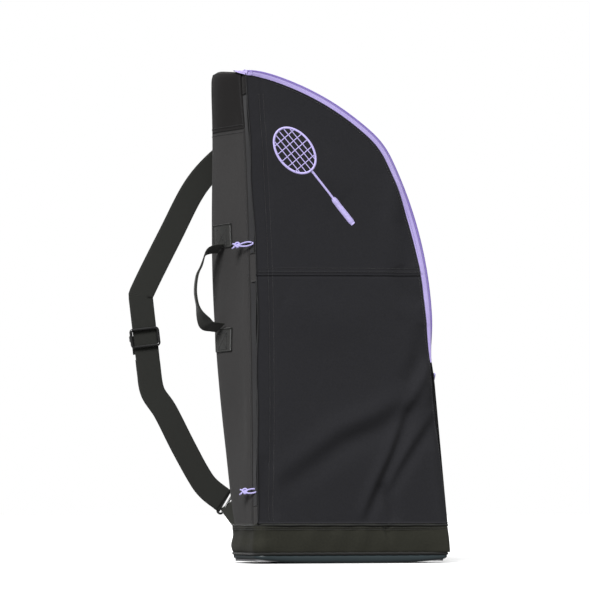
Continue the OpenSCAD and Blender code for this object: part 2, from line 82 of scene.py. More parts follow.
def shoulder_arc():
    """Where the shoulder arc touches the side arc and the top arc: (centre, start angle, end angle)."""
    across = TOP_C - SIDE_C
    gap = np.hypot(*across)
    side_reach, top_reach = SIDE_R - SHOULDER_R, TOP_R - SHOULDER_R
    cosine = (side_reach ** 2 + gap ** 2 - top_reach ** 2) / (2 * side_reach * gap)
    start = math.atan2(across[1], across[0]) + math.acos(cosine)
    centre = SIDE_C + side_reach * np.array([math.cos(start), math.sin(start)])
    return centre, start, math.atan2(*(centre - TOP_C)[::-1])


SHOULDER_C, SIDE_END, TOP_START = shoulder_arc()


# ---------- Curves and surfaces ----------

UPWARD, BACKWARD, LEFTWARD = np.array([0, 0, 1.0]), np.array([0, 1.0, 0]), np.array([-1.0, 0, 0])


def in_front(x, y, z):
    """Points from the leaning front plane's frame: y is behind the plane, z runs up it from the band."""
    x, y, z = np.broadcast_arrays(x, y, z)
    return np.stack([x, -HALF_D + y * LEAN_C + z * LEAN_S, BAND_TOP - y * LEAN_S + z * LEAN_C], -1)


def arc(centre, radius, start, end, count):
    a = np.linspace(start, end, count)
    return np.stack([centre[0] + radius * np.cos(a), centre[1] + radius * np.sin(a)], -1)


def touch_angle(radius, x0):
    """Angle at which a line from the base corner (x0, 0) touches the side arc."""
    return math.atan2(-SIDE_C[1], x0 - SIDE_C[0]) + math.acos(radius / math.hypot(x0 - SIDE_C[0], SIDE_C[1]))


def right_edge(inset):
    """Right and top edge in the front view, from the base corner to the left edge."""
    r = SIDE_R - inset
    top_end = math.acos((-HALF_W - TOP_C[0]) / (TOP_R - inset))
    parts = [np.array([[HALF_W, 0.0]]), arc(SIDE_C, r, touch_angle(r, HALF_W), SIDE_END, 60),
             arc(SHOULDER_C, SHOULDER_R - inset, SIDE_END, TOP_START, 30)[1:],
             arc(TOP_C, TOP_R - inset, TOP_START, top_end, 50)[1:]]
    return np.concatenate(parts)


def zip_path(inset, start, count):
    """The main zip's line in the front plane: points and outward directions, evenly spaced."""
    top_end = math.acos((-HALF_W + 0.001 - TOP_C[0]) / (TOP_R - TAPE_W))
    arcs = ((SIDE_C, SIDE_R, start, SIDE_END), (SHOULDER_C, SHOULDER_R, SIDE_END, TOP_START))
    parts = []
    for centre, radius, a, b in arcs + ((TOP_C, TOP_R, TOP_START, top_end),):
        n = int(radius * (b - a) / 0.002)
        angle = np.linspace(a, b, n)
        out = np.stack([np.cos(angle), np.sin(angle)], -1)
        parts.append(np.concatenate([centre + (radius - inset) * out, out], -1)[(1 if parts else 0):])
    both = resample(np.concatenate(parts), count)
    return both[:, :2], both[:, 2:] / np.linalg.norm(both[:, 2:], axis=1)[:, None]


def resample(points, count, columns=2):
    """Even spacing along a polyline, measured in its first columns."""
    points = np.asarray(points, float)
    at = lengths(points[:, :columns])
    want = np.linspace(0, at[-1], count)
    return np.stack([np.interp(want, at, points[:, k]) for k in range(points.shape[1])], -1)


def spline(points, steps):
    """Catmull-Rom curve through points."""
    p = np.asarray(points, float)
    p = np.concatenate([[2 * p[0] - p[1]], p, [2 * p[-1] - p[-2]]])
    t = np.linspace(0, 1, steps, endpoint=False)[:, None]
    out = []
    for a, b, c, d in zip(p, p[1:], p[2:], p[3:]):
        square, cube = 2 * a - 5 * b + 4 * c - d, 3 * b - a - 3 * c + d
        out.append(0.5 * (2 * b + (c - a) * t + square * t ** 2 + cube * t ** 3))
    return np.concatenate(out + [p[-2:-1]])


def coons(left, right, bottom, top):
    """Grid between four edges; left and right run upwards, bottom and top run left to right."""
    v, u = np.linspace(0, 1, len(left))[:, None, None], np.linspace(0, 1, len(bottom))[None, :, None]
    blend = (1 - v) * bottom[None] + v * top[None] + (1 - u) * left[:, None] + u * right[:, None]
    low = (1 - u) * bottom[0] + u * bottom[-1]
    high = (1 - u) * top[0] + u * top[-1]
    return blend - (1 - v) * low - v * high


def smoothstep(x, low, high):
    t = np.clip((x - low) / (high - low), 0, 1)
    return t * t * (3 - 2 * t)


def unit(v):
    return v / np.maximum(np.linalg.norm(v, axis=-1, keepdims=True), 1e-12)


def surface_normals(p):
    return unit(np.cross(np.gradient(p, axis=0), np.gradient(p, axis=1)))


def stacked(*arrays):
    """Points or uv pairs from coordinates that broadcast together."""
    return np.stack(np.broadcast_arrays(*arrays), -1)


def tangents(path):
    return unit(np.gradient(path, axis=0))


def lengths(path):
    """Distance from a path's start at each of its points."""
    return np.concatenate([[0], np.cumsum(np.linalg.norm(np.diff(path, axis=0), axis=1))])


def at_height(plan, height):
    """A plan loop of (x, y) rows lifted to a height."""
    return np.concatenate([plan, np.full((len(plan), 1), height)], 1)


# ---------- Meshes ----------

def make_mesh(name, verts, faces, material, uvs):
    """A smooth-shaded object from arrays; uvs holds one pair for each vertex."""
    mesh = bpy.data.meshes.new(name)
    mesh.from_pydata([tuple(v) for v in np.asarray(verts, float)], [], [tuple(map(int, f)) for f in faces])
    layer = mesh.uv_layers.new(name="UVMap")
    loops = np.zeros(len(mesh.loops), int)
    mesh.loops.foreach_get("vertex_index", loops)
    layer.data.foreach_set("uv", np.asarray(uvs, np.float32)[loops].ravel())
    mesh.polygons.foreach_set("use_smooth", [True] * len(mesh.polygons))
    mesh.materials.append(material)
    mesh.validate()
    obj = bpy.data.objects.new(name, mesh)
    bpy.context.scene.collection.objects.link(obj)
    return obj


def grid_faces(rows, cols, wrap_rows=False, wrap_cols=False, first=0):
    i = np.arange(rows if wrap_rows else rows - 1)[:, None]
    j = np.arange(cols if wrap_cols else cols - 1)[None, :]
    i2, j2 = (i + 1) % rows, (j + 1) % cols
    quads = stacked(i * cols + j, i2 * cols + j, i2 * cols + j2, i * cols + j2)
    return (quads.reshape(-1, 4) + first).tolist()


def sheet(name, points, thickness, material, uv):
    """A closed piece of cloth: a grid of outer points, an inner layer behind it, and a rounded hem all round.
    The cross product of the row and column directions points outwards."""
    p = np.asarray(points, float)
    rows, cols = p.shape[:2]
    n = surface_normals(p)
    inner = p - n * thickness
    rim = [(0, j) for j in range(cols)] + [(i, cols - 1) for i in range(1, rows)]
    rim += [(rows - 1, j) for j in range(cols - 2, -1, -1)] + [(i, 0) for i in range(rows - 2, 0, -1)]
    ri, rj = np.array(rim).T
    ii, jj = np.clip(ri, 1, rows - 2), np.clip(rj, 1, cols - 2)
    away = unit(p[ri, rj] - p[ii, jj])
    edge = (p - n * thickness / 2)[ri, rj] + away * thickness * 0.45
    verts = np.concatenate([p.reshape(-1, 3), inner.reshape(-1, 3), edge])
    faces = grid_faces(rows, cols)
    faces += [f[::-1] for f in grid_faces(rows, cols, first=rows * cols)]
    count, base = len(rim), 2 * rows * cols
    for k in range(count):
        k2 = (k + 1) % count
        a, b = ri[k] * cols + rj[k], ri[k2] * cols + rj[k2]
        faces.append([b, a, base + k, base + k2])
        faces.append([base + k2, base + k, a + rows * cols, b + rows * cols])
    uv = np.asarray(uv, float).reshape(-1, 2)
    uvs = np.concatenate([uv, uv, uv.reshape(rows, cols, 2)[ri, rj]])
    return make_mesh(name, verts, faces, material, uvs)


def sweep_arrays(path, side, up, section, closed=False, scale=None):
    """Carries a closed 2-D section along a path. side and up are directions at each point."""
    path, section = np.asarray(path, float), np.asarray(section, float)
    n, m = len(path), len(section)
    side, up = np.broadcast_to(side, (n, 3)), np.broadcast_to(up, (n, 3))
    scale = np.ones((n, 2)) if scale is None else np.broadcast_to(np.asarray(scale, float), (n, 2))
    offset = section[None] * scale[:, None]
    verts = path[:, None] + offset[..., :1] * side[:, None] + offset[..., 1:] * up[:, None]
    faces = grid_faces(n, m, wrap_rows=closed, wrap_cols=True)
    uv = stacked(lengths(section)[None, :], lengths(path)[:, None])
    verts, uv = verts.reshape(-1, 3), uv.reshape(-1, 2)
    if not closed:
        for start, flip in ((0, False), ((n - 1) * m, True)):
            centre = verts[start:start + m].mean(0)
            cap = [[len(verts), start + j, start + (j + 1) % m] for j in range(m)]
            faces += [f[::-1] for f in cap] if flip else cap
            verts = np.concatenate([verts, [centre]])
            uv = np.concatenate([uv, [uv[start]]])
    return verts, faces, uv


def turning_frames(path, closed):
    """Directions square to a path that turn with it as little as possible."""
    path = np.asarray(path, float)
    if closed:
        tangent = unit(np.roll(path, -1, 0) - np.roll(path, 1, 0))
    else:
        tangent = tangents(path)
    first = np.cross(tangent[0], (0, 0, 1) if abs(tangent[0][2]) < 0.9 else (1, 0, 0))
    side = [first / np.linalg.norm(first)]
    for t in tangent[1:]:
        s = side[-1] - t * np.dot(side[-1], t)
        side.append(s / np.linalg.norm(s))
    side = np.array(side)
    return side, unit(np.cross(tangent, side))


def circle(radius, count):
    a = np.arange(count) * TAU / count
    return np.stack([radius * np.cos(a), radius * np.sin(a)], -1)


def flat_section(width, thickness, count=12):
    """Section of a flat strap: a thin slab with round edges, its long side along the first axis."""
    half, r = width / 2 - thickness / 2, thickness / 2
    x = np.linspace(-half, half, count)
    turn = np.linspace(-math.pi / 2, math.pi / 2, 5)[1:-1]
    right = np.stack([half + r * np.cos(turn), r * np.sin(turn)], -1)
    bottom, top = np.stack([x, np.full(count, -r)], -1), np.stack([x[::-1], np.full(count, r)], -1)
    return np.concatenate([bottom, right, top, -right])


def join(parts):
    """One set of arrays from several (verts, faces, uvs)."""
    verts, faces, uvs, first = [], [], [], 0
    for v, f, t in parts:
        verts.append(v)
        uvs.append(t)
        faces += [[k + first for k in face] for face in f]
        first += len(v)
    return np.concatenate(verts), faces, np.concatenate(uvs)


def tube_arrays(path, radius, count, closed=False, taper=0.0):
    """A round tube; taper is the length over which open ends round off."""
    side, up = turning_frames(path, closed)
    scale = None
    if taper:
        reach = lengths(path)
        near = np.minimum(reach, reach[-1] - reach) / taper
        scale = np.sqrt(np.clip(1 - (1 - np.clip(near, 0.03, 1)) ** 2, 0.02, 1))[:, None]
    return sweep_arrays(path, side, up, circle(radius, count), closed, scale)


def build(name, parts, material, body, slot, *replaced):
    """Joins arrays into one piece that rides on a body and stands for CAD nodes."""
    verts, faces, uvs = join(parts)
    return finish_piece(make_mesh(name, verts, faces, material, uvs), body, slot, *replaced)


def bag_sheet(name, points, thickness, material, uv, slot, *replaced):
    """A sheet of cloth that rides on the bag and stands for CAD nodes."""
    return finish_piece(sheet(name, points, thickness, material, uv), "bag", slot, *replaced)


def paint(obj, material):
    obj.data.materials.clear()
    obj.data.materials.append(material)


def finish_piece(obj, body, slot, *replaced):
    if body:
        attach(obj, body)
    if replaced:
        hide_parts(*replaced)
    return obj


# One stitch as (share of its length, height in thread radii): out of the cloth, along it and back in.
STITCH_ARCH = ((-0.5, -0.8), (-0.3, 0.5), (0.3, 0.5), (0.5, -0.8))


def stitch_arrays(path, normal, pitch=0.0042, length=0.0030, radius=0.00035):
    """A row of stitches that dip into the cloth at both ends."""
    path = np.asarray(path, float)
    normal = np.broadcast_to(normal, path.shape)
    both = np.concatenate([path, normal], 1)
    count = max(2, int(lengths(path)[-1] / pitch))
    points = resample(both, count * 5 + 1, 3)
    parts = []
    for k in range(count):
        a, b = points[5 * k], points[5 * k + 4]
        mid, up = (a[:3] + b[:3]) / 2, unit((a[3:] + b[3:]) / 2)
        run = unit(b[:3] - a[:3])
        line = [mid + run * length * q + up * radius * h for q, h in STITCH_ARCH]
        parts.append(sweep_arrays(line, np.cross(run, up), up, circle(radius, 5)))
    return join(parts)


# ---------- Materials ----------

def linear(r, g, b):
    """Linear colour from display values above 10 of 255."""
    return tuple(((c / 255 + 0.055) / 1.055) ** 2.4 for c in (r, g, b)) + (1.0,)


class Shader:
    """Small helper for building a Principled material from nodes."""

    def __init__(self, name):
        self.material = bpy.data.materials.new(name)
        self.material.use_nodes = True
        self.tree = self.material.node_tree
        self.principled = self.tree.nodes["Principled BSDF"]

    def put(self, node, **values):
        made = self.tree.nodes.new(node)
        for key, value in values.items():
            if key in made.inputs:
                self.link(value, made.inputs[key])
            else:
                setattr(made, key, value)
        return made

    def link(self, value, socket):
        if isinstance(value, bpy.types.NodeSocket):
            self.tree.links.new(value, socket)
        else:
            socket.default_value = value

    def calc(self, operation, a, b=0.0, c=0.0):
        made = self.tree.nodes.new("ShaderNodeMath")
        made.operation = operation
        for socket, value in zip(made.inputs, (a, b, c)):
            self.link(value, socket)
        return made.outputs[0]

    def times(self, a, b):
        return self.calc("MULTIPLY", a, b)

    def fit(self, value, gain, offset):
        return self.calc("MULTIPLY_ADD", value, gain, offset)

    def place(self):
        """Position in the object's own frame."""
        return self.put("ShaderNodeTexCoord").outputs["Object"]

    def noise(self, scale, detail=3.0):
        return self.put("ShaderNodeTexNoise", Vector=self.place(), Scale=scale, Detail=detail).outputs["Fac"]

    def cells(self, scale, vector):
        return self.put("ShaderNodeTexVoronoi", Scale=scale, Vector=vector).outputs[0]

    def mix(self, factor, a, b):
        made = self.tree.nodes.new("ShaderNodeMix")
        made.data_type = "RGBA"
        self.link(factor, made.inputs[0])
        self.link(a, made.inputs[6])
        self.link(b, made.inputs[7])
        return made.outputs[2]

    def uv(self):
        split = self.put("ShaderNodeSeparateXYZ", Vector=self.put("ShaderNodeTexCoord").outputs["UV"])
        return split.outputs[0], split.outputs[1]

    def wave(self, coordinate, pitch):
        """0 to 1 and back over each pitch."""
        return self.fit(self.calc("SINE", self.times(coordinate, TAU / pitch)), 0.5, 0.5)

    def bump(self, height, distance, strength=1.0, below=None):
        made = self.put("ShaderNodeBump", Height=height, Distance=distance, Strength=strength)
        if below is not None:
            self.link(below, made.inputs["Normal"])
        return made.outputs["Normal"]

    def edges(self, low=0.50, high=0.56):
        """1 on worn outer edges."""
        pointed = self.put("ShaderNodeNewGeometry").outputs["Pointiness"]
        return self.put("ShaderNodeMapRange", Value=pointed, **{"From Min": low, "From Max": high}).outputs[0]

    def done(self, color, roughness, normal, sheen, specular, metallic=0.0, coat=0.0):
        for key, value in (("Base Color", color), ("Roughness", roughness), ("Normal", normal),
                           ("Sheen Weight", sheen), ("Specular IOR Level", specular), ("Metallic", metallic),
                           ("Coat Weight", coat)):
            self.link(value, self.principled.inputs[key])
        self.principled.inputs["Sheen Roughness"].default_value = 0.5
        return self.material


def scaled(color, factor):
    return tuple(min(1.0, c * factor) for c in color[:3]) + (1.0,)


def woven(name, color, pitch=0.0009, relief=0.00012, roughness=0.8, wear=1.3, specular=0.12):
    """Plain weave: crossing yarns, uneven dye, dusty wear on outer edges."""
    s = Shader(name)
    u, v = s.uv()
    over = s.times(s.wave(u, pitch), s.wave(v, pitch))
    half = pitch / 2
    under = s.times(s.wave(s.calc("ADD", u, half), pitch), s.wave(s.calc("ADD", v, half), pitch))
    yarn = s.calc("MAXIMUM", over, under)
    cloudy = s.noise(9.0, 4.0)
    slub = s.noise(420.0, 2.0)
    tone = s.mix(cloudy, scaled(color, 0.82), scaled(color, 1.18))
    tone = s.mix(s.times(yarn, 0.5), s.mix(slub, scaled(color, 0.62), scaled(color, 1.25)), tone)
    tone = s.mix(s.times(s.edges(), 0.5), tone, scaled(color, wear))
    height = s.calc("ADD", yarn, s.times(slub, 0.6))
    normal = s.bump(height, relief)
    normal = s.bump(s.noise(38.0, 3.0), 0.0012, 0.35, normal)
    rough = s.fit(cloudy, 0.12, roughness - 0.06)
    return s.done(tone, rough, normal, 0.04, specular)


def webbing(name, color, rib=0.0016):
    """Flat woven strap: ribs across it, fine warp lines along it."""
    s = Shader(name)
    u, v = s.uv()
    ribs = s.wave(v, rib)
    warp = s.wave(u, rib * 0.9)
    lift = s.times(ribs, s.fit(warp, 0.6, 0.4))
    cloudy = s.noise(14.0, 3.0)
    tone = s.mix(lift, scaled(color, 0.6), scaled(color, 1.25))
    tone = s.mix(s.times(cloudy, 0.5), tone, scaled(color, 0.8))
    tone = s.mix(s.times(s.edges(), 0.4), tone, scaled(color, 1.5))
    normal = s.bump(lift, 0.0003, 0.8)
    normal = s.bump(s.noise(600.0, 2.0), 0.0002, 0.5, normal)
    return s.done(tone, s.fit(cloudy, 0.1, 0.72), normal, 0.15, 0.3)


def braid(name, color):
    """Round cord: slanting strands."""
    s = Shader(name)
    u, v = s.uv()
    a = s.wave(s.calc("ADD", u, v), 0.0013)
    b = s.wave(s.calc("SUBTRACT", u, v), 0.0013)
    strand = s.calc("MAXIMUM", a, b)
    tone = s.mix(strand, scaled(color, 0.62), scaled(color, 1.1))
    tone = s.mix(s.times(s.noise(60.0), 0.4), tone, scaled(color, 0.85))
    return s.done(tone, s.fit(strand, -0.1, 0.7), s.bump(strand, 0.0002), 0.25, 0.3)


def moulded(name, color, roughness, metallic=0.0, coat=0.0):
    """Moulded plastic or lacquered metal: fine grain, scuffs, lighter rubbed edges."""
    s = Shader(name)
    scuff = s.noise(55.0, 5.0)
    tone = s.mix(scuff, scaled(color, 0.8), scaled(color, 1.25))
    tone = s.mix(s.times(s.edges(0.52, 0.60), 0.5), tone, scaled(color, 2.6))
    rough = s.fit(scuff, 0.22, roughness - 0.08)
    normal = s.bump(s.noise(1500.0, 2.0), 0.00004, 0.5)
    return s.done(tone, rough, normal, 0.0, 0.5, metallic, coat)


def tape_material(name, light, dark, outer):
    """Zip tape: fine ribs along it, and bands of colour across it (u runs from 0 at the sewn edge to 1). The
    light band is the tape's own lavender, then a thin dark line; the darker outer band towards the coil is
    painted shade.
    """
    s = Shader(name)
    u, v = s.uv()
    line = s.put("ShaderNodeValToRGB", Fac=u)
    ramp = line.color_ramp
    ramp.elements[0].position, ramp.elements[0].color = 0.0, light
    ramp.elements[1].position, ramp.elements[1].color = 1.0, outer
    # The outer band towards the coil is darker: painted shade of the coil's lavender.
    for position, color in ((0.60, light), (0.63, dark), (0.69, dark), (0.72, outer)):
        ramp.elements.new(position).color = color
    ribs = s.wave(u, 1 / 9)
    yarn = s.times(s.wave(v, 0.0008), ribs)
    cloudy = s.noise(20.0)
    shade = s.mix(s.times(ribs, 0.30), line.outputs[0], (0.10, 0.07, 0.25, 1))
    shade = s.mix(s.times(cloudy, 0.18), shade, (0.9, 0.86, 1, 1))
    height = s.calc("ADD", s.times(ribs, -1.0), s.times(yarn, 0.4))
    return s.done(shade, s.fit(cloudy, 0.15, 0.6), s.bump(height, 0.0003), 0.1, 0.35)


def foam_material(name, color):
    """Closed-cell foam."""
    s = Shader(name)
    cells = s.cells(700.0, s.place())
    tone = s.mix(cells, scaled(color, 0.7), scaled(color, 1.2))
    return s.done(tone, s.fit(s.noise(30.0), 0.1, 0.85), s.bump(cells, 0.0003), 0.05, 0.3)


def rubbery(name, color):
    """Coated base sheet: pebbled, slightly glossy, scuffed where it stands."""
    s = Shader(name)
    place = s.place()
    pebble = s.cells(520.0, place)
    height = s.put("ShaderNodeSeparateXYZ", Vector=place).outputs[2]
    low = s.put("ShaderNodeMapRange", Value=height, **{"From Min": 0.004, "From Max": 0.0}).outputs[0]
    dust = s.times(low, s.noise(45.0, 5.0))
    tone = s.mix(s.noise(12.0), scaled(color, 0.85), scaled(color, 1.15))
    tone = s.mix(s.times(dust, 0.6), tone, scaled(color, 2.2))
    rough = s.fit(s.noise(30.0), 0.15, 0.38)
    return s.done(tone, rough, s.bump(pebble, 0.00015, 0.6), 0.0, 0.45)


PANEL = woven("panel_weave", linear(34, 34, 37), roughness=0.82)
GUSSET = woven("side_weave", linear(58, 57, 57), 0.0007, 0.00008, 0.75, specular=0.06)
BLACK = woven("black_weave", linear(24, 22, 22))
LINING = woven("lining_weave", linear(48, 48, 52), pitch=0.0006, relief=0.00006, roughness=0.6)
BAND = woven("base_weave", linear(44, 44, 38), pitch=0.0012, roughness=0.8, specular=0.06)
SLATE = rubbery("base_coating", linear(42, 52, 55))
BOARD = moulded("board", linear(90, 90, 92), roughness=0.6)
BINDING = webbing("binding", linear(22, 23, 21), rib=0.0012)
STRAP = webbing("strap_webbing", linear(31, 32, 28))
PATCH = webbing("patch_webbing", linear(22, 23, 19), rib=0.0014)
TAB = webbing("tab_webbing", linear(44, 45, 40), rib=0.0022)
BUCKLE = moulded("buckle_plastic", linear(20, 20, 20), roughness=0.26, coat=0.3)
SLIDER = moulded("slider_metal", linear(24, 24, 25), roughness=0.3, metallic=0.5)
# The third colour, the tape's darker outer band, is painted shade along the coil.
TAPE = tape_material("zip_tape", linear(168, 153, 214), linear(84, 66, 140), linear(134, 114, 188))
# The coil is the tape's lavender; its darker purple colour is painted shade.
COIL_IN_PAINTED_SHADE = moulded("zip_coil", linear(124, 104, 178), roughness=0.4)
POCKET_TAPE = webbing("pocket_zip_tape", linear(38, 38, 40), rib=0.001)
POCKET_COIL = moulded("pocket_zip_coil", linear(26, 26, 27), roughness=0.4)
CORD = braid("cord_braid", linear(186, 178, 232))
PRINT = woven("print_film", linear(184, 174, 226), pitch=0.0009, relief=0.00006, roughness=0.55, wear=1.1)
THREAD = braid("thread", linear(27, 27, 29))
THREAD_LIGHT = braid("thread_light", linear(150, 138, 205))
BACK = foam_material("back_mesh_cloth", linear(30, 30, 32))


# ---------- Front panels ----------

def fold(x, z, line, width, depth, drop):
    """One soft crease along a polyline in the front plane. depth is outwards along the line; drop raises the
    cloth on the line's upper left and lowers it on its lower right."""
    best, side, reach = np.full(np.shape(x), 9.0), np.zeros(np.shape(x)), np.zeros(np.shape(x))
    points = [np.array(p) for p in line]
    total = len(points) - 1
    for k, (a, b) in enumerate(zip(points, points[1:])):
        d = b - a
        t = np.clip(((x - a[0]) * d[0] + (z - a[1]) * d[1]) / (d @ d), 0, 1)
        dx, dz = x - a[0] - t * d[0], z - a[1] - t * d[1]
        distance = np.hypot(dx, dz)
        signed = (dx * d[1] - dz * d[0]) / np.hypot(*d)
        nearer = distance < best
        best = np.where(nearer, distance, best)
        side = np.where(nearer, signed, side)
        reach = np.where(nearer, (k + t) / total, reach)
    fade = np.clip(4 * reach * (1 - reach), 0, 1) ** 0.6 + 0.12
    return fade * np.exp(-(best / width) ** 2) * (depth + drop * side / width)


EDGE_X, EDGE_Z = right_edge(TAPE_W).T


def edge_x(z):
    """The front panel's right edge at a height above the band."""
    return np.interp(z, EDGE_Z, EDGE_X)


def seam_height(x):
    """The cross seam rises a little towards the zip."""
    return SEAM_Z - 0.0015 + 0.022 * (x + HALF_W)


def edge_shift(z):
    """How far the slack left edge is drawn in from its sewn ends."""
    drawn = np.sin(math.pi * np.clip(z / 0.68, 0, 1)) ** 1.2
    return 0.0015 * smoothstep(z, 0.68, 0.50) + 0.0075 * drawn


# The front's creases: (line of x, z points, width, depth, drop across the line).
FOLDS = (
    ([(0.098, 0.186), (0.0626, 0.103), (0.038, 0.055), (0.016, 0.005)], 0.0105, -0.0010, 0.0100),
    ([(0.137, 0.166), (0.104, 0.122), (0.074, 0.080), (0.050, 0.040)], 0.0110, -0.0010, 0.0070),
    ([(0.100, 0.186), (0.040, 0.152), (-0.017, 0.128), (-0.120, 0.056)], 0.021, 0.0, 0.0095),
    ([(0.134, 0.246), (0.112, 0.206), (0.092, 0.168)], 0.0095, 0.0036, 0.0030),
    ([(0.140, 0.206), (0.130, 0.168), (0.128, 0.110)], 0.012, -0.0035, 0.0),
    ([(0.118, 0.300), (0.108, 0.250), (0.086, 0.208)], 0.018, -0.0030, 0.0040),
    ([(0.096, 0.520), (0.088, 0.450), (0.096, 0.385)], 0.022, -0.0010, 0.0080),
    ([(0.070, 0.380), (0.088, 0.340), (0.112, 0.320)], 0.020, -0.0020, 0.0040),
    ([(-0.132, 0.100), (-0.138, 0.050), (-0.120, 0.006)], 0.012, -0.0030, 0.0),
    ([(-0.120, 0.600), (-0.060, 0.560), (0.010, 0.500)], 0.040, 0.0020, 0.0040),
    ([(-0.100, 0.330), (-0.040, 0.300), (0.040, 0.310)], 0.035, 0.0022, 0.0),
    ([(0.046, 0.060), (0.060, 0.028), (0.066, 0.002)], 0.0090, -0.0045, 0.0),
)


def relief(x, z):
    """How far the front stands out of its plane: the cloth's pull, slack and creases."""
    across = np.clip((x + HALF_W) / (2 * HALF_W), 0, 1)
    out = 0.0030 * np.sin(across * math.pi) * smoothstep(z, 0.0, 0.10)
    for line, width, depth, drop in FOLDS:
        out += fold(x, z, line, width, depth, drop)
    out += 0.0007 * np.sin(23 * x + 9 * z) * np.sin(17 * z - 6 * x + 1)
    seam = z - seam_height(x)
    out += 0.0006 * np.exp(-((seam - 0.004) / 0.004) ** 2) - 0.0011 * np.exp(-(seam / 0.0011) ** 2)
    out -= 0.0008 * np.exp(-((x + HALF_W - edge_shift(z) - 0.0225) / 0.0035) ** 2)
    right = edge_x(z) - x
    out -= 0.0030 * np.exp(-(right / 0.007) ** 2) * smoothstep(z, 0.30, 0.22)
    out += 0.0014 * np.exp(-((right - 0.012) / 0.008) ** 2) * smoothstep(z, 0.30, 0.20)
    return out


def droop(x):
    """The tape sags where it turns over the top left corner."""
    return 0.0062 * np.exp(-np.clip(x + HALF_W, 0, None) / 0.017) + 0.0012 * smoothstep(x, 0.0, -0.10)


def front_point(x, z, lift=0.0):
    return in_front(x, -relief(x, z) - lift, z)


FRONT_OUT, FRONT_UP = np.array([0, -LEAN_C, LEAN_S]), np.array([0, LEAN_S, LEAN_C])


def edge_wobble(z):
    """The free left edge isn't quite straight."""
    return 0.0012 * np.sin(z * 21 + 0.6) + 0.0008 * np.sin(z * 47)


def front_panels():
    rows, cols = 120, 84
    hem = 0.0004
    z = np.linspace(hem, SEAM_Z, rows)[:, None]
    u = np.linspace(0, 1, cols)[None, :]
    left = -HALF_W + edge_shift(z) + edge_wobble(z)
    x = left + (edge_x(z) - left) * u
    z = hem + (z - hem) * (seam_height(x) - 0.0006) / (SEAM_Z - hem)
    bag_sheet("front_panel_lower_cloth", front_point(x, z)[:, ::-1], FABRIC, PANEL,
              stacked(x, z)[:, ::-1], "panel_fabric", "front_panel_lower")

    edge = right_edge(TAPE_W)
    turn = SHOULDER_C + (SHOULDER_R - TAPE_W) * np.array([math.cos(1.0), math.sin(1.0)])
    corner = int(np.argmin(np.hypot(*(edge - turn).T)))
    seam_end = seam_height(0.125)
    first = int(np.argmax(edge[:, 1] > seam_end + 0.001))
    start = np.array([[edge_x(seam_end), seam_end]])
    right = resample(np.concatenate([start, edge[first:corner + 1]]), rows)
    top = resample(edge[corner:][::-1], cols)
    peak = edge[-1, 1]
    z = np.linspace(seam_height(-HALF_W + 0.009), peak, rows)
    wobble = edge_wobble(z) * smoothstep(z, peak, SEAM_Z + 0.25)
    left = np.stack([-HALF_W + edge_shift(z) + wobble, z], -1)
    x = np.linspace(left[0, 0], right[0, 0], cols)
    flat = coons(left, right, np.stack([x, seam_height(x)], -1), top)
    bag_sheet("front_panel_upper_cloth", front_point(flat[..., 0], flat[..., 1])[:, ::-1], FABRIC, PANEL,
              flat[:, ::-1], "panel_fabric", "front_panel_upper")


def front_stitching():
    rows = []
    z = np.linspace(0.004, 0.640, 150)
    for inset in (0.0185, 0.0250):
        rows.append(stitch_arrays(front_point(-HALF_W + edge_shift(z) + inset, z, 0.0003), FRONT_OUT))
    for offset in (0.0045, 0.0100):
        x = np.linspace(-HALF_W + 0.012, edge_x(SEAM_Z) - 0.003, 120)
        rows.append(stitch_arrays(front_point(x, seam_height(x) + offset, 0.0003), FRONT_OUT))
    edge = right_edge(TAPE_W + 0.0035)
    edge = resample(edge[edge[:, 1] < 0.985 * edge[-1, 1]], 300)
    rows.append(stitch_arrays(front_point(edge[:, 0], edge[:, 1], 0.0003), FRONT_OUT))
    build("front_stitching", rows, THREAD, "bag", "panel_fabric")


def print_mark():
    """A plain racket outline: oval head, strings, shaft and grip, as thin film on the cloth."""
    centre, turn = np.array([-0.062, 0.535]), math.radians(-50)
    head_a, head_b, line = 0.040, 0.029, 0.0034
    c, s = math.cos(turn), math.sin(turn)

    def film(a, b):
        a = a - 0.026
        return front_point(centre[0] + a * c - b * s, centre[1] + a * s + b * c, 0.00025)

    def strip(a, b):
        """Film between two edges given as (along, across) rows."""
        grid = film(np.asarray(a), np.asarray(b))
        n = grid.shape[1]
        under = grid - FRONT_OUT * 0.0002
        both = np.concatenate([grid, under[::-1]])
        faces = grid_faces(4, n, wrap_rows=True)
        ends = [[0, n, 2 * n, 3 * n], [4 * n - 1, 3 * n - 1, 2 * n - 1, n - 1]]
        return both.reshape(-1, 3), faces + ends, np.stack([both[..., 0], both[..., 2]], -1).reshape(-1, 2)

    angle = np.linspace(0, TAU, 73)
    parts = [strip([(head_a - w) * np.cos(angle) for w in (line, 0)],
                   [(head_b - w) * np.sin(angle) for w in (line, 0)])]
    mid_a, mid_b, string = head_a - line / 2, head_b - line / 2, 0.0007
    for offset in np.arange(-0.024, 0.025, 0.012):
        reach = mid_b * math.sqrt(1 - (offset / mid_a) ** 2)
        run = np.linspace(-reach, reach, 20)
        parts.append(strip([0 * run + offset + string, 0 * run + offset - string], [run, run]))
    for offset in np.arange(-0.016, 0.017, 0.008):
        reach = mid_a * math.sqrt(1 - (offset / mid_b) ** 2)
        run = np.linspace(-reach, reach, 24)
        parts.append(strip([run, run], [0 * run + offset - string, 0 * run + offset + string]))
    shaft = np.linspace(head_a - 0.001, head_a + 0.053, 20)
    parts.append(strip([shaft, shaft], [np.full(20, -line / 2), np.full(20, line / 2)]))
    grip = np.linspace(head_a + 0.051, head_a + 0.101, 20)
    half = 0.0045 - 0.0012 * smoothstep(np.abs(grip - grip.mean()), 0.020, 0.025)
    parts.append(strip([grip, grip], [-half, half]))
    build("front_print_film", parts, PRINT, "bag", "print_film", "front_print")


# ---------- Sides, top and back ----------

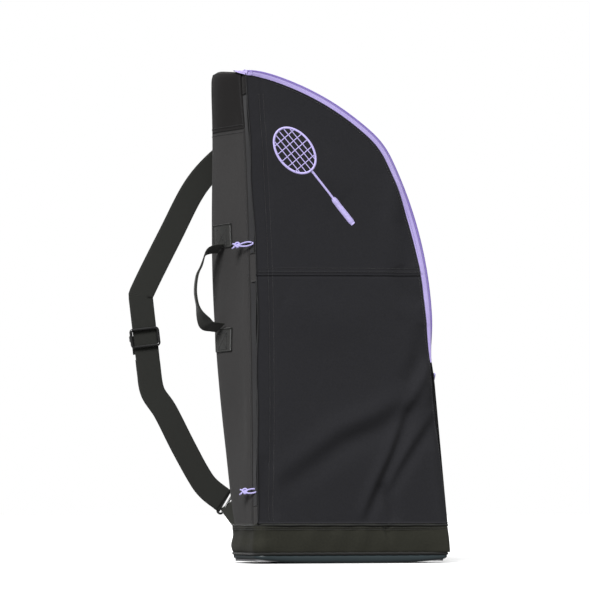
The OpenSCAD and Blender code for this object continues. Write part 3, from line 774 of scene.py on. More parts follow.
def body_outline():
    """Front view of the sides as one path: up the left side, over the top and down the right side."""
    edge = right_edge(REAR_INSET)[::-1]
    up = np.stack([np.full(60, -HALF_W), np.linspace(0, edge[0, 1], 60)], -1)
    path = np.concatenate([up[:-1], edge])
    path = resample(path, 560)
    corner = int(np.argmin(np.hypot(path[:, 0] + HALF_W, path[:, 1] - edge[0, 1])))
    for _ in range(7):
        window = slice(corner - 9, corner + 10)
        path[window] = (path[corner - 10:corner + 9] + 2 * path[window] + path[corner - 8:corner + 11]) / 4
    return path


OUTLINE = body_outline()
OUTWARD = unit(np.gradient(OUTLINE, axis=0))[:, ::-1] * np.array([-1, 1])
CORNER = int(np.argmax(OUTLINE[:, 0] > -HALF_W + 0.004))
LEFT_END = int(np.argmax(OUTLINE[:, 1] > SIDE_SPLIT_Z))
RIGHT_START = CORNER + int(np.argmax(OUTLINE[CORNER:, 1] < RIGHT_SPLIT_Z))


def rear_radius(z):
    """Radius of the rear corners: a wide curve at the base that tightens upwards."""
    return 0.034 + 0.071 * np.clip(1 - z / 0.42, 0, 1) ** 1.6


def mouth_depth(z):
    """Front edge of the right side and the top: the zip's mouth closes towards the slider."""
    return 0.0030 + (MOUTH_GAP - 0.0030) * smoothstep(z, 0.205, 0.330)


def row_at(table, index):
    """Rows of a table at fractional positions."""
    return np.stack([np.interp(index, np.arange(len(table)), column) for column in table.T], -1)


def body_ring(index, share, front=None):
    """Points of the sides: index runs along OUTLINE, share from the front edge (0) to the back seam (1).
    Also the distance from the front edge. front puts that edge at one depth behind the front plane."""
    x, z = row_at(OUTLINE, index).T
    out = row_at(OUTWARD, index)
    on_left = (index < CORNER)[:, None]
    left_edge = SIDE_FRONT_Y + (MOUTH_GAP - SIDE_FRONT_Y) * smoothstep(z, 0.60, 0.66)
    right_edge_y = np.where(z > RIGHT_SPLIT_Z, MOUTH_GAP, mouth_depth(z))
    edge = np.where(on_left[:, 0], left_edge, right_edge_y) if front is None else np.full(len(z), front)
    radius = rear_radius(z)
    first_y = -HALF_D + edge * LEAN_C + z * LEAN_S
    corner_y = HALF_D - radius
    straight = (corner_y - first_y)[:, None]
    walk = share[None, :] * (straight + (radius * np.arcsin((SEAM_Y - corner_y) / radius))[:, None])
    radius = radius[:, None]
    theta = np.clip(walk - straight, 0, None) / radius
    y = first_y[:, None] + np.minimum(walk, straight) + radius * np.sin(theta)
    inward = radius * (1 - np.cos(theta))

    near_left = smoothstep(x, -HALF_W + 0.012, -HALF_W + 0.001) * (index <= CORNER + 12)
    swell = (0.015 - 0.017 * np.clip(1 - z / 0.42, 0, 1) ** 1.8) * near_left
    bulge = swell[:, None] * smoothstep(y, -0.040, 0.056)
    quiet_ends = smoothstep(share, 0, 0.2) * smoothstep(share, 1, 0.8)
    slack = 0.0022 * np.sin(z * 31)[:, None] * np.sin(walk * 26) * quiet_ends
    over = smoothstep(out[:, 1], 0.5, 0.95)[:, None]
    sag = over * 0.007 * np.sin(share * math.pi) ** 2 + over * 0.006 * share ** 2
    drawn = 0.5 * edge_shift(z)[:, None] * smoothstep(walk, 0.020, 0.0) * on_left
    offset = bulge - inward + slack - sag - drawn
    height = z[:, None] * (1 - (1 - LEAN_C) * (1 - share)) - edge[:, None] * LEAN_S * (1 - share)
    points = [x[:, None] + out[:, :1] * offset, y, BAND_TOP + height + out[:, 1:] * offset]
    return np.stack(points, -1), walk


def side_sheet(name, first, last, material, slot, node):
    index = np.arange(first, last + 1)
    grid, walk = body_ring(index, np.linspace(0, 1, 56))
    uv = stacked(walk, (index * 0.0035)[:, None])
    bag_sheet(name, grid, FABRIC * 0.8, material, uv, slot, node)


def seam_tube(name, path, radius, slot, closed=False):
    """Bound edge: a thin tube along a seam."""
    tube = tube_arrays(path, radius, 10, closed, 0 if closed else radius * 2)
    build(name, [tube], BINDING, "bag", slot)


def side_bridges():
    """Strips that close the slit before the left side, above, between and below the two zips."""
    for number, (low, high) in enumerate(((0.0005, 0.027), (0.358, 0.401), (0.641, 0.669))):
        z = np.linspace(low, high, 14)[:, None]
        v = np.linspace(0, 1, 9)[None]
        x = -HALF_W + edge_shift(z) * (1 - 0.45 * v) + 0.0008 - 0.0010 * np.sin(v * math.pi)
        y = 0.0024 + (SIDE_FRONT_Y + 0.004 * smoothstep(z, 0.60, 0.66) - 0.0010) * v
        bag_sheet("side_bridge_%d" % number, in_front(x, y, z), 0.0014, BLACK if number == 2 else GUSSET,
                  stacked(v * 0.017, z), "side_fabric")


def side_stitching(stretches):
    """Rows along each stretch's front and rear edge, and across the outline where two stretches meet."""
    rows = []
    for first, end in stretches:
        grid, _ = body_ring(np.arange(first + 1, end, 2), np.array([0.02, 0.03, 0.955, 0.965]))
        for line, step in ((grid[:, 1], grid[:, 1] - grid[:, 0]), (grid[:, 2], grid[:, 3] - grid[:, 2])):
            out = unit(np.cross(np.gradient(line, axis=0), step))
            rows.append(stitch_arrays(line + out * 0.0003, out))
    for level in (LEFT_END, RIGHT_START):
        grid, _ = body_ring(np.array([level - 2, level + 2]), np.linspace(0.01, 0.99, 60))
        for line in grid:
            out = unit(np.cross(grid[1] - grid[0], np.gradient(line, axis=0)))
            rows.append(stitch_arrays(line + out * 0.0004, out))
    build("side_stitching", rows, THREAD, "bag", "side_fabric")


def sides():
    """The left side, the top and the right side; returns the seam line that the back is sewn to."""
    last = len(OUTLINE) - 1
    side_sheet("left_gusset_cloth", 0, LEFT_END, GUSSET, "side_fabric", "left_side_panel")
    side_sheet("top_gusset_cloth", LEFT_END, RIGHT_START, BLACK, "black_fabric", "top_gusset")
    side_sheet("right_gusset_cloth", RIGHT_START, last, BLACK, "black_fabric", "right_side_panel")
    side_bridges()
    rim = body_ring(np.arange(0, last + 1, 2), np.array([1.0]))[0][:, 0]
    seam_tube("back_seam_binding", rim + np.array([0, 0.0008, 0]), 0.0026, "piping")
    side_stitching(((0, LEFT_END), (LEFT_END, RIGHT_START), (RIGHT_START, last)))
    return rim


def back_grid(rim, rows, cols, inset):
    """The back's area in the XZ plane as a grid, `inset` inside the seam and tucked into the base band."""
    flat = rim[:, [0, 2]]
    inward = unit(np.gradient(flat, axis=0))[:, ::-1] * np.array([1, -1])
    flat = flat + inward * inset
    flat = np.concatenate([flat[:1] - [0, 0.005], flat, flat[-1:] - [0, 0.005]])
    corner = int(np.argmax(flat[:, 1] + flat[:, 0] * -0.6))
    peak = int(np.argmin(np.hypot(flat[:, 0] - 0.052, flat[:, 1] - (BAND_TOP + 0.572))))
    left, top = resample(flat[:corner + 1], rows), resample(flat[corner:peak + 1], cols)
    right = resample(flat[peak:][::-1], rows)
    return coons(left, right, np.linspace(left[0], right[0], cols), top)


CHANNELS = (0.16, 0.30, 0.44)     # heights of the sewn channels above the base band
SPINE_X = -0.010                  # the upright channel between them


def channel_depth(x, z):
    """Quilting of the padded back: three cross channels and a central spine channel."""
    depth = sum(np.exp(-((z - BAND_TOP - h - 0.02 * (x / 0.12) ** 2) / 0.0045) ** 2) for h in CHANNELS)
    spine = np.exp(-((x - SPINE_X) / 0.0045) ** 2) * smoothstep(z, BAND_TOP + 0.05, BAND_TOP + 0.10)
    spine = spine * smoothstep(z, BAND_TOP + 0.50, BAND_TOP + 0.46)
    return np.clip(depth + spine, 0, 1)


def inflate(obj, cap):
    """Swells a closed padded form with a cloth simulation and keeps each point within cap of its start."""
    start = np.array([v.co for v in obj.data.vertices], float)
    cloth = obj.modifiers.new("swell", "CLOTH")
    cloth.settings.quality = 5
    cloth.settings.mass = 0.3
    cloth.settings.use_pressure = True
    cloth.settings.uniform_pressure_force = 4.0
    cloth.settings.effector_weights.gravity = 0.0
    cloth.settings.tension_stiffness = 12
    last = 16
    cloth.point_cache.frame_start, cloth.point_cache.frame_end = 1, last
    scene = bpy.context.scene
    for number in range(1, last + 1):
        scene.frame_set(number)
    result = obj.evaluated_get(bpy.context.evaluated_depsgraph_get())
    moved = np.array([v.co for v in result.data.vertices], float)
    obj.modifiers.remove(cloth)
    scene.frame_set(1)
    step = moved - start
    size = np.linalg.norm(step, axis=1, keepdims=True)
    final = start + step * np.minimum(1, cap / np.maximum(size, 1e-9))
    obj.data.vertices.foreach_set("co", final.astype(np.float32).ravel())
    obj.data.update()


def remesh(obj, voxel):
    modifier = obj.modifiers.new("voxels", "REMESH")
    modifier.mode, modifier.voxel_size = "VOXEL", voxel
    result = bpy.data.meshes.new_from_object(obj.evaluated_get(bpy.context.evaluated_depsgraph_get()))
    obj.modifiers.clear()
    obj.data = result


def padded_back(rim):
    rows, cols = 90, 46
    flat = back_grid(rim, rows, cols, 0.0012)
    u, v = np.linspace(-1, 1, cols)[None], np.linspace(-1, 1, rows)[:, None]
    edge = np.minimum(1 - np.abs(u), (1 - np.abs(v)) * 2)
    crown = 0.0020 * smoothstep(edge, 0.0, 0.12)
    grid = stacked(flat[..., 0], SEAM_Y + 0.0016 + crown, flat[..., 1])
    pad = sheet("back_pad", grid, 0.0030, BLACK, flat)
    remesh(pad, 0.0045)
    inflate(pad, 0.0045)
    co = np.array([v.co for v in pad.data.vertices], float)
    sunk = channel_depth(co[:, 0], co[:, 2])
    outer = smoothstep(co[:, 1], SEAM_Y, SEAM_Y + 0.003)
    co[:, 1] = np.minimum(co[:, 1], HALF_D - 0.0001) - 0.0034 * sunk * outer
    pad.data.vertices.foreach_set("co", co.astype(np.float32).ravel())
    paint(pad, BACK)
    smooth = pad.modifiers.new("smooth", "SUBSURF")
    smooth.levels = smooth.render_levels = 1
    pad.data.polygons.foreach_set("use_smooth", [True] * len(pad.data.polygons))
    finish_piece(pad, "bag", "black_fabric", "back_panel_fabric", "back_panel_foam")

    rows_of_stitches, outer_y = [], HALF_D - 0.0036
    for height in CHANNELS:
        x = np.linspace(-0.105, 0.085, 60)
        z = BAND_TOP + height + 0.02 * (x / 0.12) ** 2
        rows_of_stitches.append(stitch_arrays(stacked(x, outer_y, z), BACKWARD))
    z = np.linspace(BAND_TOP + 0.09, BAND_TOP + 0.47, 80)
    rows_of_stitches.append(stitch_arrays(stacked(SPINE_X, outer_y, z), BACKWARD))
    build("back_stitching", rows_of_stitches, THREAD, "bag", "black_fabric")

    flat = back_grid(rim, 60, 40, 0.0030)
    ripple = 0.0005 * np.sin(flat[..., 0] * 60) * np.sin(flat[..., 1] * 35)
    inner = np.stack([flat[..., 0], SEAM_Y - 0.0014 + ripple, flat[..., 1]], -1)
    bag_sheet("back_lining_cloth", inner[:, ::-1], 0.0008, LINING, flat[:, ::-1],
              "lining_fabric", "back_panel_lining")


# ---------- Base ----------

BASE_REAR_R, BASE_LEFT_R, BASE_RIGHT_R = 0.105, 0.016, 0.007
BASE_GIRTH = 0.86                 # round the base, for the scale of the weave


def base_plan(inset):
    """Rounded D of the base as a closed loop, counter-clockwise from the middle of the front."""
    w, d = HALF_W - inset, HALF_D - inset
    rear, left, right = BASE_REAR_R - inset, max(BASE_LEFT_R - inset, 0.002), max(BASE_RIGHT_R - inset, 0.002)
    quarter = math.pi / 2
    middle = np.array([[0.0, -d]])
    front_right = arc((w - right, -d + right), right, -quarter, 0, 14)
    rear_right = arc((w - rear, d - rear), rear, 0, quarter, 40)
    rear_left = arc((-w + rear, d - rear), rear, quarter, math.pi, 40)
    front_left = arc((-w + left, -d + left), left, math.pi, 3 * quarter, 14)
    loop = np.concatenate([middle, front_right, rear_right, rear_left, front_left, middle])
    return resample(loop, 361)[:-1]


def base_rings(name, profile, material, shape):
    """A closed ring round the base: profile lists (inset, height) round its section, shape bends the ring."""
    grid = shape(np.array([at_height(base_plan(inset), height) for inset, height in profile]))
    count = grid.shape[1]
    uv = stacked(np.linspace(0, BASE_GIRTH, count)[None], lengths(np.array(profile))[:, None])
    faces = [f[::-1] for f in grid_faces(len(profile), count, True, True)]
    return make_mesh(name, grid.reshape(-1, 3), faces, material, uv.reshape(-1, 2))


def band_shape(grid):
    """Slack in the band: waves along it, and a crease on the front that follows the panel's valley."""
    x, y, z = grid[..., 0], grid[..., 1], grid[..., 2]
    height = np.clip((z - BAND_LOW) / (BAND_TOP - BAND_LOW), 0, 1)
    around = np.arctan2(y, x)
    middle = np.sin(height * math.pi)
    wave = 0.0009 * np.sin(around * 17 + 1) * middle + 0.0014 * middle
    crease = np.exp(-((x - 0.061 + 0.010 * height) / 0.0050) ** 2) * (y < 0)
    left = (0.0016 * np.sin(height * 8) + 0.0010 * (1 - height)) * smoothstep(x, -0.10, -0.15)
    flare = 0.0052 * (1 - height) ** 0.8 * smoothstep(x, 0.11, 0.15)
    offset = wave - 0.0048 * crease * smoothstep(height, 0.05, 0.9) + left + flare
    out = unit(np.stack([x / HALF_W, y / HALF_D], -1))
    grid[..., :2] += out * offset[..., None]
    return grid


def tray_shape(grid):
    """The underside rises a little towards its ends."""
    low = np.clip(1 - grid[..., 2] / 0.012, 0, 1)
    grid[..., 2] += 0.0062 * low * np.clip(np.abs(grid[..., 0]) / HALF_W, 0, 1) ** 4
    return grid


def band():
    """The cloth band round the base with its bound top edge and two rows of stitches."""
    low, top = BAND_LOW, BAND_TOP - 0.0003
    heights = np.linspace(low + 0.001, top - 0.001, 12)
    profile = [(0.0006, low)] + [(0.0, h) for h in heights] + [(0.0008, top), (0.0020, top - 0.0002)]
    profile += [(FABRIC, h) for h in heights[::-1]] + [(0.0018, low)]
    cloth = base_rings("base_band_cloth", profile, BAND, band_shape)
    finish_piece(cloth, "bag", "base_fabric", "base_band")
    hem = at_height(base_plan(-0.0010), BAND_TOP - 0.0022)
    hem[:, 2] += 0.0003 * np.sin(np.arange(len(hem)) * 0.35)
    seam_tube("base_band_hem", hem, 0.0014, "base_fabric", closed=True)
    stitches = []
    for drop in (0.0060, 0.0085):
        ring = at_height(base_plan(-0.0016), BAND_TOP - drop)
        ring = np.concatenate([ring, ring[:1]])
        step = np.gradient(ring, axis=0)
        stitches.append(stitch_arrays(ring, unit(step[:, [1, 0, 2]] * np.array([1, -1, 0]))))
    build("base_stitching", stitches, THREAD, "bag", "base_fabric")


def base():
    band()
    tray_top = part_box("base_tray")[1].z
    pipe = at_height(base_plan(-0.0002), tray_top + 0.0018)
    pipe[:, 2] += 0.0002 * np.sin(np.arange(len(pipe)) * 0.9)
    build("base_piping_cord", [tube_arrays(pipe, 0.0020, 12, True)], BINDING, "bag", "piping", "base_piping")
    t = 0.0026
    centre = 0.0900                   # inset at which the ring stops and the flat middle starts
    outer = [(0.0, tray_top), (0.0, 0.008), (0.0003, 0.005), (0.0012, 0.0028), (0.0030, 0.0010)]
    outer += [(0.0055, 0.0002), (0.012, 0.0), (0.030, 0.0), (0.060, 0.0), (centre, 0.0)]
    inner = [(centre, t), (0.060, t), (0.030, t), (0.009, t), (0.0046, t + 0.0010)]
    inner += [(t, t + 0.004), (t, tray_top)]
    tray = base_rings("base_tray_sheet", outer + inner, SLATE, tray_shape)
    finish_piece(tray, "bag", "base_rubber", "base_tray")
    middle = base_plan(centre - 0.0005)
    n = len(middle)
    verts = np.concatenate([at_height(middle, 0.0001), at_height(middle, t - 0.0001)])
    faces = [list(range(n))[::-1], list(range(n, 2 * n))]
    faces += [[k, (k + 1) % n, n + (k + 1) % n, n + k] for k in range(n)]
    plate = make_mesh("base_tray_middle", verts, faces, SLATE, verts[:, :2])
    plate.data.polygons.foreach_set("use_smooth", [False] * len(plate.data.polygons))
    finish_piece(plate, "bag", "base_rubber")
    paint(frame["nodes"]["base_board"], BOARD)


# ---------- Inner walls ----------

def inner_walls():
    low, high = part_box("pocket_divider")
    divider_y, turn_x, front_x, left_x = 0.0186, 0.078, 0.106, -HALF_W + 0.008
    turn = [[turn_x - 0.01, divider_y], [turn_x + 0.004, divider_y - 0.012]]
    plan = resample(np.array([[left_x, divider_y], *turn, [front_x, -0.086]]), 70)
    z = np.linspace(low.z, high.z, 90)
    sag = 0.0030 * np.sin(np.linspace(0, math.pi, 90))[:, None] * np.sin(np.linspace(0, 3 * math.pi, 70))
    start_y = -HALF_D + 0.0045 * LEAN_C + np.clip(z - BAND_TOP, 0, None) * LEAN_S
    y = np.maximum(plan[None, :, 1] + sag, start_y[:, None])
    limit = np.interp(z - BAND_TOP, EDGE_Z, EDGE_X, left=HALF_W) - 0.012
    squeeze = np.minimum(1, (limit - left_x) / (front_x - left_x))[:, None]
    grid = stacked(left_x + (plan[None, :, 0] - left_x) * squeeze, y, z[:, None])
    bag_sheet("pocket_divider_cloth", grid[:, ::-1], 0.0010, LINING, grid[:, ::-1][..., [0, 2]],
              "lining_fabric", "pocket_divider")
    low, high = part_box("pocket_shelf")
    x = np.linspace(low.x, high.x - 0.004, 60)[:, None]
    y = np.linspace(low.y, high.y - 0.003, 30)[None]
    along, back = (x - low.x) / (high.x - low.x), (y - low.y) / (high.y - low.y)
    z = low.z + 0.001 - 0.010 * np.sin(along * math.pi) * np.sin(back * math.pi)
    grid = stacked(x, y, z)
    bag_sheet("pocket_shelf_cloth", grid, 0.0010, LINING, grid[..., :2], "lining_fabric", "pocket_shelf")


# ---------- Zips ----------

TAPE_START = math.radians(-5.5)


def tooth_arrays(path, tangent, across, out, size):
    """Coil elements: one rounded loop for each point of a path. across and out may be one direction."""
    width, height, length = size
    across, out, tangent = np.broadcast_arrays(across, out, tangent, path)[:3]
    bend = np.linspace(-1, 1, 6)
    parts = []
    for k in range(len(path)):
        ring = [path[k] + across[k] * width * 0.5 * b + out[k] * height * (1 - b * b) for b in bend]
        parts.append(sweep_arrays(ring, tangent[k], out[k], circle(length, 6)))
    return join(parts)


def zip_curl(path):
    """How far both zip halves bend towards each other near the slider."""
    return smoothstep(path[:, 1], 0.315, 0.245)


def upright(out):
    """Directions in the front plane, given as (x, z) rows, in space."""
    return np.stack([out[:, 0], 0 * out[:, 0], out[:, 1]], -1)


COIL_SIZE = (0.0026, 0.0010, 0.00055)
TAPE_ROWS, COIL_COUNT = 330, 520
ZIP_LENGTH = 0.86                 # along the tape, for the scale of its weave


def front_tape():
    """The zip's front half on the panel's edge; returns the rows at its end over the top left corner."""
    outer, out = zip_path(0.0, TAPE_START, TAPE_ROWS)
    inner, _ = zip_path(TAPE_W - 0.0003, TAPE_START, TAPE_ROWS)
    low = inner[:, 1] < 0.36
    inner[low, 0] = np.maximum(inner[low, 0], edge_x(inner[low, 1]) + 0.0004)
    inner[:, 0] = np.where(low, np.minimum(inner[:, 0], outer[:, 0] - 0.0004), inner[:, 0])
    u = np.linspace(0, 1, 15)
    curl = zip_curl(outer)[:, None] * u ** 2
    flat = inner[:, None] * (1 - u[:, None]) + outer[:, None] * u[:, None]
    flat = flat - out[:, None] * (0.0012 * curl)[..., None]
    y = -0.0004 - 0.0010 * np.sin(u * math.pi) + 0.0050 * curl
    y = y - relief(inner[:, 0], inner[:, 1])[:, None] * (1 - u) ** 2 * 0.8
    grid = in_front(flat[..., 0], y, flat[..., 1] - droop(flat[..., 0]) * (0.25 + 0.75 * u))
    uv = stacked(u, np.linspace(0, ZIP_LENGTH, TAPE_ROWS)[:, None])
    bag_sheet("main_zip_front_tape_cloth", grid, 0.0009, TAPE, uv, "zip_tape", "main_zip_front_tape")

    mid, out = zip_path(0.0012, TAPE_START, COIL_COUNT)
    curl = zip_curl(mid)
    path = in_front(mid[:, 0] - 0.0012 * curl, -0.0010 + 0.0052 * curl, mid[:, 1] - 0.95 * droop(mid[:, 0]))
    coil = tooth_arrays(path, tangents(path), upright(out), FRONT_OUT, COIL_SIZE)
    spine = tube_arrays(path + FRONT_OUT * 0.0002, 0.0006, 6)
    build("main_zip_front_coil", [coil, spine], COIL_IN_PAINTED_SHADE, "bag", "zip_coil", "main_zip_front_teeth")
    return grid[:-6:-1]


def rear_tape():
    """The zip's rear half on the sides' front edge."""
    start = TAPE_START + math.radians(1.0)
    line, out = zip_path(REAR_INSET, start, TAPE_ROWS)
    curl = zip_curl(line)[:, None]
    v = np.linspace(0, 1, 12)
    y = (0.0125 - 0.0020 * curl) * v + (MOUTH_GAP + 0.0035 - 0.0040 * curl) * (1 - v)
    lift = 0.0012 * np.sin(v * math.pi) + 0.0006
    grid = in_front(line[:, :1] + out[:, :1] * lift, y, line[:, 1:] + out[:, 1:] * lift)
    uv = stacked(v, np.linspace(0, ZIP_LENGTH, TAPE_ROWS)[:, None])
    bag_sheet("main_zip_rear_tape_cloth", grid, 0.0009, TAPE, uv, "zip_tape", "main_zip_rear_tape")

    mid, out = zip_path(REAR_INSET - 0.0004, start, COIL_COUNT)
    path = in_front(mid[:, 0], 0.0128 - 0.0020 * zip_curl(mid), mid[:, 1])
    coil = tooth_arrays(path, tangents(path), -FRONT_OUT, upright(out), COIL_SIZE)
    build("main_zip_rear_coil", [coil, tube_arrays(path, 0.0006, 6)], COIL_IN_PAINTED_SHADE, "bag", "zip_coil",
          "main_zip_rear_teeth")


def tape_stitching():
    rows = []
    for inset in (TAPE_W - 0.0018, TAPE_W - 0.0065):
        line, _ = zip_path(inset, math.radians(3.0), 300)
        sunk = droop(line[:, 0]) * (0.25 + 0.75 * (TAPE_W - inset) / TAPE_W)
        line = in_front(line[:, 0], -0.0013, line[:, 1] - sunk)
        rows.append(stitch_arrays(line, FRONT_OUT, 0.0034, 0.0024, 0.00022))
    build("main_zip_stitching", rows, THREAD_LIGHT, "bag", "zip_tape")


def zip_start(tape_rows):
    """Both tapes fold together over the top left corner and run back along it to a point."""
    shares = np.linspace(0, 0.37, 26)
    spread = np.linspace(-1, 1, 15)
    columns = []
    for share in shares:
        reach = 1 - 0.75 * share / shares[-1]
        columns.append(body_ring(CORNER - 1.2 + spread * 3.3 * reach, np.array([share]), 0.0004)[0])
    lead = [row[:, None] for row in tape_rows[::-1]]
    grid = np.concatenate(lead + columns[1:], 1)
    shares = np.concatenate([np.linspace(-0.06, -0.01, len(lead)), shares[1:]])
    for _ in range(3):
        grid[:, 1:-1] = (grid[:, :-2] + 2 * grid[:, 1:-1] + grid[:, 2:]) / 4
    grid = grid + surface_normals(grid) * 0.0016
    grid[..., 2] -= 0.0012 * smoothstep(shares, 0.20, 0.0) * smoothstep(shares, -0.06, 0.0)
    uv = stacked(0.15 + 0.85 * (spread[:, None] + 1) / 2, shares * 0.19)
    bag_sheet("main_zip_start_fold", grid, 0.0010, TAPE, uv, "zip_tape", "main_zip_start_tape")


def pocket_zip(level):
    """An open side zip: the front half lies behind the front panel, the rear half edges the side panel."""
    low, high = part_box(level + "_pocket_zip_teeth")
    bottom, top = (low.z - BAND_TOP) / LEAN_C, (high.z - BAND_TOP) / LEAN_C

    def rows(count):
        """Heights, the waves in the zip, the edge's own shift, and how far the front half lies back."""
        z = np.linspace(bottom, top, count)[:, None]
        return z, 0.0006 * np.sin(z * 60), edge_shift(z), FABRIC - relief(-HALF_W + 0.008, z)

    def tape(side, grid, u, width):
        bag_sheet("%s_pocket_%s_tape_cloth" % (level, side), grid[:, ::-1], 0.0008, POCKET_TAPE,
                  stacked(u * width, z)[:, ::-1], "pocket_zip_tape", "%s_pocket_zip_%s_tape" % (level, side))

    z, wave, drawn, behind = rows(120)
    u = np.linspace(0, 1, 8)
    x = -HALF_W + 0.0020 + TAPE_W * u + wave * 0.4 + drawn
    tape("front", in_front(x, behind + 0.0008 + 0.0006 * np.sin(u * math.pi), z), u, TAPE_W)
    x = -HALF_W + 0.0002 + 0.0010 * u + wave * u + drawn * (0.5 + 0.45 * u)
    tape("rear", in_front(x, SIDE_FRONT_Y + 0.0020 - 0.0120 * u, z), u, 0.009)

    z, wave, drawn, behind = rows(int((top - bottom) / 0.0017))
    front = in_front(-HALF_W + 0.0032 + TAPE_W + wave * 0.4 + drawn, behind + 0.0016, z)[:, 0]
    rear = in_front(-HALF_W + 0.0012 + wave + drawn * 0.95, SIDE_FRONT_Y - 0.0106, z)[:, 0]
    size = (0.0022, 0.0009, 0.0005)
    coils = [tooth_arrays(front, FRONT_UP, LEFTWARD, -FRONT_OUT, size),
             tooth_arrays(rear, FRONT_UP, FRONT_OUT, LEFTWARD, size)]
    build(level + "_pocket_zip_coils", coils, POCKET_COIL, "bag", "pocket_zip_coil",
          level + "_pocket_zip_teeth")


# ---------- Sliders and cord pulls ----------

def slider_arrays(origin, travel, out):
    """A zip slider: wedge-shaped top and bottom plates on a neck, side flanges and an arched bail."""
    across = -FRONT_OUT

    def place(along, side, height):
        return origin + travel * along + across * side + out * height

    def plate(height, thickness, grow):
        outline = [(-7.0, 2.6), (-6.2, 3.4), (1.0, 3.9), (5.0, 5.2), (6.6, 4.6), (7.2, 2.4)]
        loop = np.array(outline + [(a, -b) for a, b in outline[::-1]]) * 0.001 * grow
        rings = []
        for lift, inset in ((0, 0.92), (0.15, 1.0), (0.85, 1.0), (1.0, 0.92)):
            rings.append([place(a * inset, b * inset, height + thickness * lift) for a, b in loop])
        m = len(loop)
        faces = grid_faces(4, m, wrap_cols=True) + [list(range(m))[::-1], list(range(3 * m, 4 * m))]
        return np.array(rings).reshape(-1, 3), faces, np.tile(loop, (4, 1))

    parts = [plate(0.0, 0.0012, 1.0), plate(0.0034, 0.0014, 0.96)]
    neck = [place(0.0045, 0, h) for h in np.linspace(0.0008, 0.0040, 4)]
    parts.append(sweep_arrays(neck, travel, across, circle(0.0017, 8)))
    flange = ((-0.0060, 0.0030), (0.0010, 0.0036), (0.0046, 0.0047))
    for sign in (-1, 1):
        rail = [place(a, sign * b, 0.0036) for a, b in flange]
        parts.append(sweep_arrays(rail, across, out, circle(0.0007, 6)))
    turn = np.linspace(0, math.pi, 14)
    bail = np.array([place(-0.0042 * math.cos(a), 0, 0.0044 + 0.0040 * math.sin(a)) for a in turn])
    normal = unit(np.cross(np.gradient(bail, axis=0), across))
    parts.append(sweep_arrays(bail, across, normal, flat_section(0.0022, 0.0011, 4)))
    return parts


def cord_arrays(pivot, run, side, out, knot_at=0.0235):
    """A cord looped through the bail: two strands, an overhand knot, two cut tails."""
    def place(a, b, c):
        return pivot + run * a + side * b + out * c

    thick = 0.00125
    loop = [(knot_at, 0.0010, 0.0004), (0.016, 0.0032, 0.0002), (0.007, 0.0036, 0), (-0.0010, 0.0016, 0),
            (-0.0022, 0.0, 0), (-0.0010, -0.0016, 0), (0.007, -0.0034, 0), (0.016, -0.0030, -0.0004),
            (knot_at, -0.0012, -0.0004)]
    parts = [tube_arrays(spline([place(*p) for p in loop], 8), thick, 9)]
    wrap = []
    for a in np.linspace(0, TAU, 60, endpoint=False):
        along = knot_at + 0.0030 + 0.0030 * math.cos(2 * a + 0.3)
        swing = 0.0012 * math.cos(3 * a)
        wrap.append(place(along, (0.0030 + swing) * math.sin(a), (0.0029 + swing) * math.cos(a)))
    parts.append(tube_arrays(np.array(wrap), 0.00150, 9, closed=True))
    core = [place(knot_at + a, 0.0004 * math.sin(a * 900), 0) for a in np.linspace(-0.0008, 0.0072, 12)]
    parts.append(tube_arrays(np.array(core), 0.0021, 9, taper=0.002))
    for sign, reach in ((1, knot_at + 0.0135), (-1, knot_at + 0.0115)):
        tail = [(knot_at + 0.004, sign * 0.0008, 0), (knot_at + 0.008, sign * 0.0022, 0.0006 * sign),
                (reach - 0.004, sign * 0.0034, 0.0010 * sign), (reach, sign * 0.0044, 0.0002)]
        parts.append(tube_arrays(spline([place(*p) for p in tail], 7), thick, 9, taper=0.0006))
    return parts





def main_slider(joints):
    """The main slider at its rest angle on the side arc; its cord falls outwards and backwards."""
    rest, radius = math.radians(-7), SIDE_R + 0.0005
    origin = in_front(SIDE_C[0] + radius * math.cos(rest), 0.012, SIDE_C[1] + radius * math.sin(rest))
    out = FRONT_UP * math.sin(rest) - LEFTWARD * math.cos(rest)
    travel = FRONT_UP * math.cos(rest) + LEFTWARD * math.sin(rest)
    name = "main_zip_slider"
    build(name + "_body", slider_arrays(origin, travel, out), SLIDER, name, "slider_metal", name)
    fallen = Matrix.Rotation(math.radians(75), 3, Vector(-FRONT_OUT)) @ Vector(out)
    run = unit(np.array(fallen) * 0.62 + BACKWARD * 0.78)
    side = unit(np.cross(run, out))
    name = "main_zip_cord"
    pull = cord_arrays(np.array(joints[name + "_swing"]["pos_m"]), run, side, unit(np.cross(run, side)))
    build(name + "_pull", pull, CORD, name, "cord", name)


def pocket_slider(joints, level, drawn, raised, knot_at):
    """A slider and its cord on a side zip, moved with the zip: drawn to the right and raised."""
    name, body = level + "_pocket_zip_cord", level + "_pocket_zip_slider"
    pivot = np.array(joints[name + "_swing"]["pos_m"]) + np.array([drawn, 0, raised])
    plates = slider_arrays(pivot - LEFTWARD * 0.0102, FRONT_UP, LEFTWARD)
    build(body + "_body", plates, SLIDER, body, "slider_metal", body)
    run = unit(LEFTWARD * 0.55 - FRONT_OUT * 0.835)
    side = unit(FRONT_UP * 0.9 + np.cross(run, FRONT_UP) * 0.43)
    pull = cord_arrays(pivot - LEFTWARD * 0.0020, run, side, np.cross(run, side), knot_at)
    build(name + "_pull", pull, CORD, name, "cord", name)


def sliders():
    joints = {j["name"]: j for j in frame["joints"]}
    main_slider(joints)
    pocket_slider(joints, "upper", 0.0145, 0.0, 0.0240)
    pocket_slider(joints, "lower", 0.0135, 0.0070, 0.0195)
    paint(frame["nodes"]["main_zip_end_stop"], SLIDER)


# ---------- Carry handle ----------

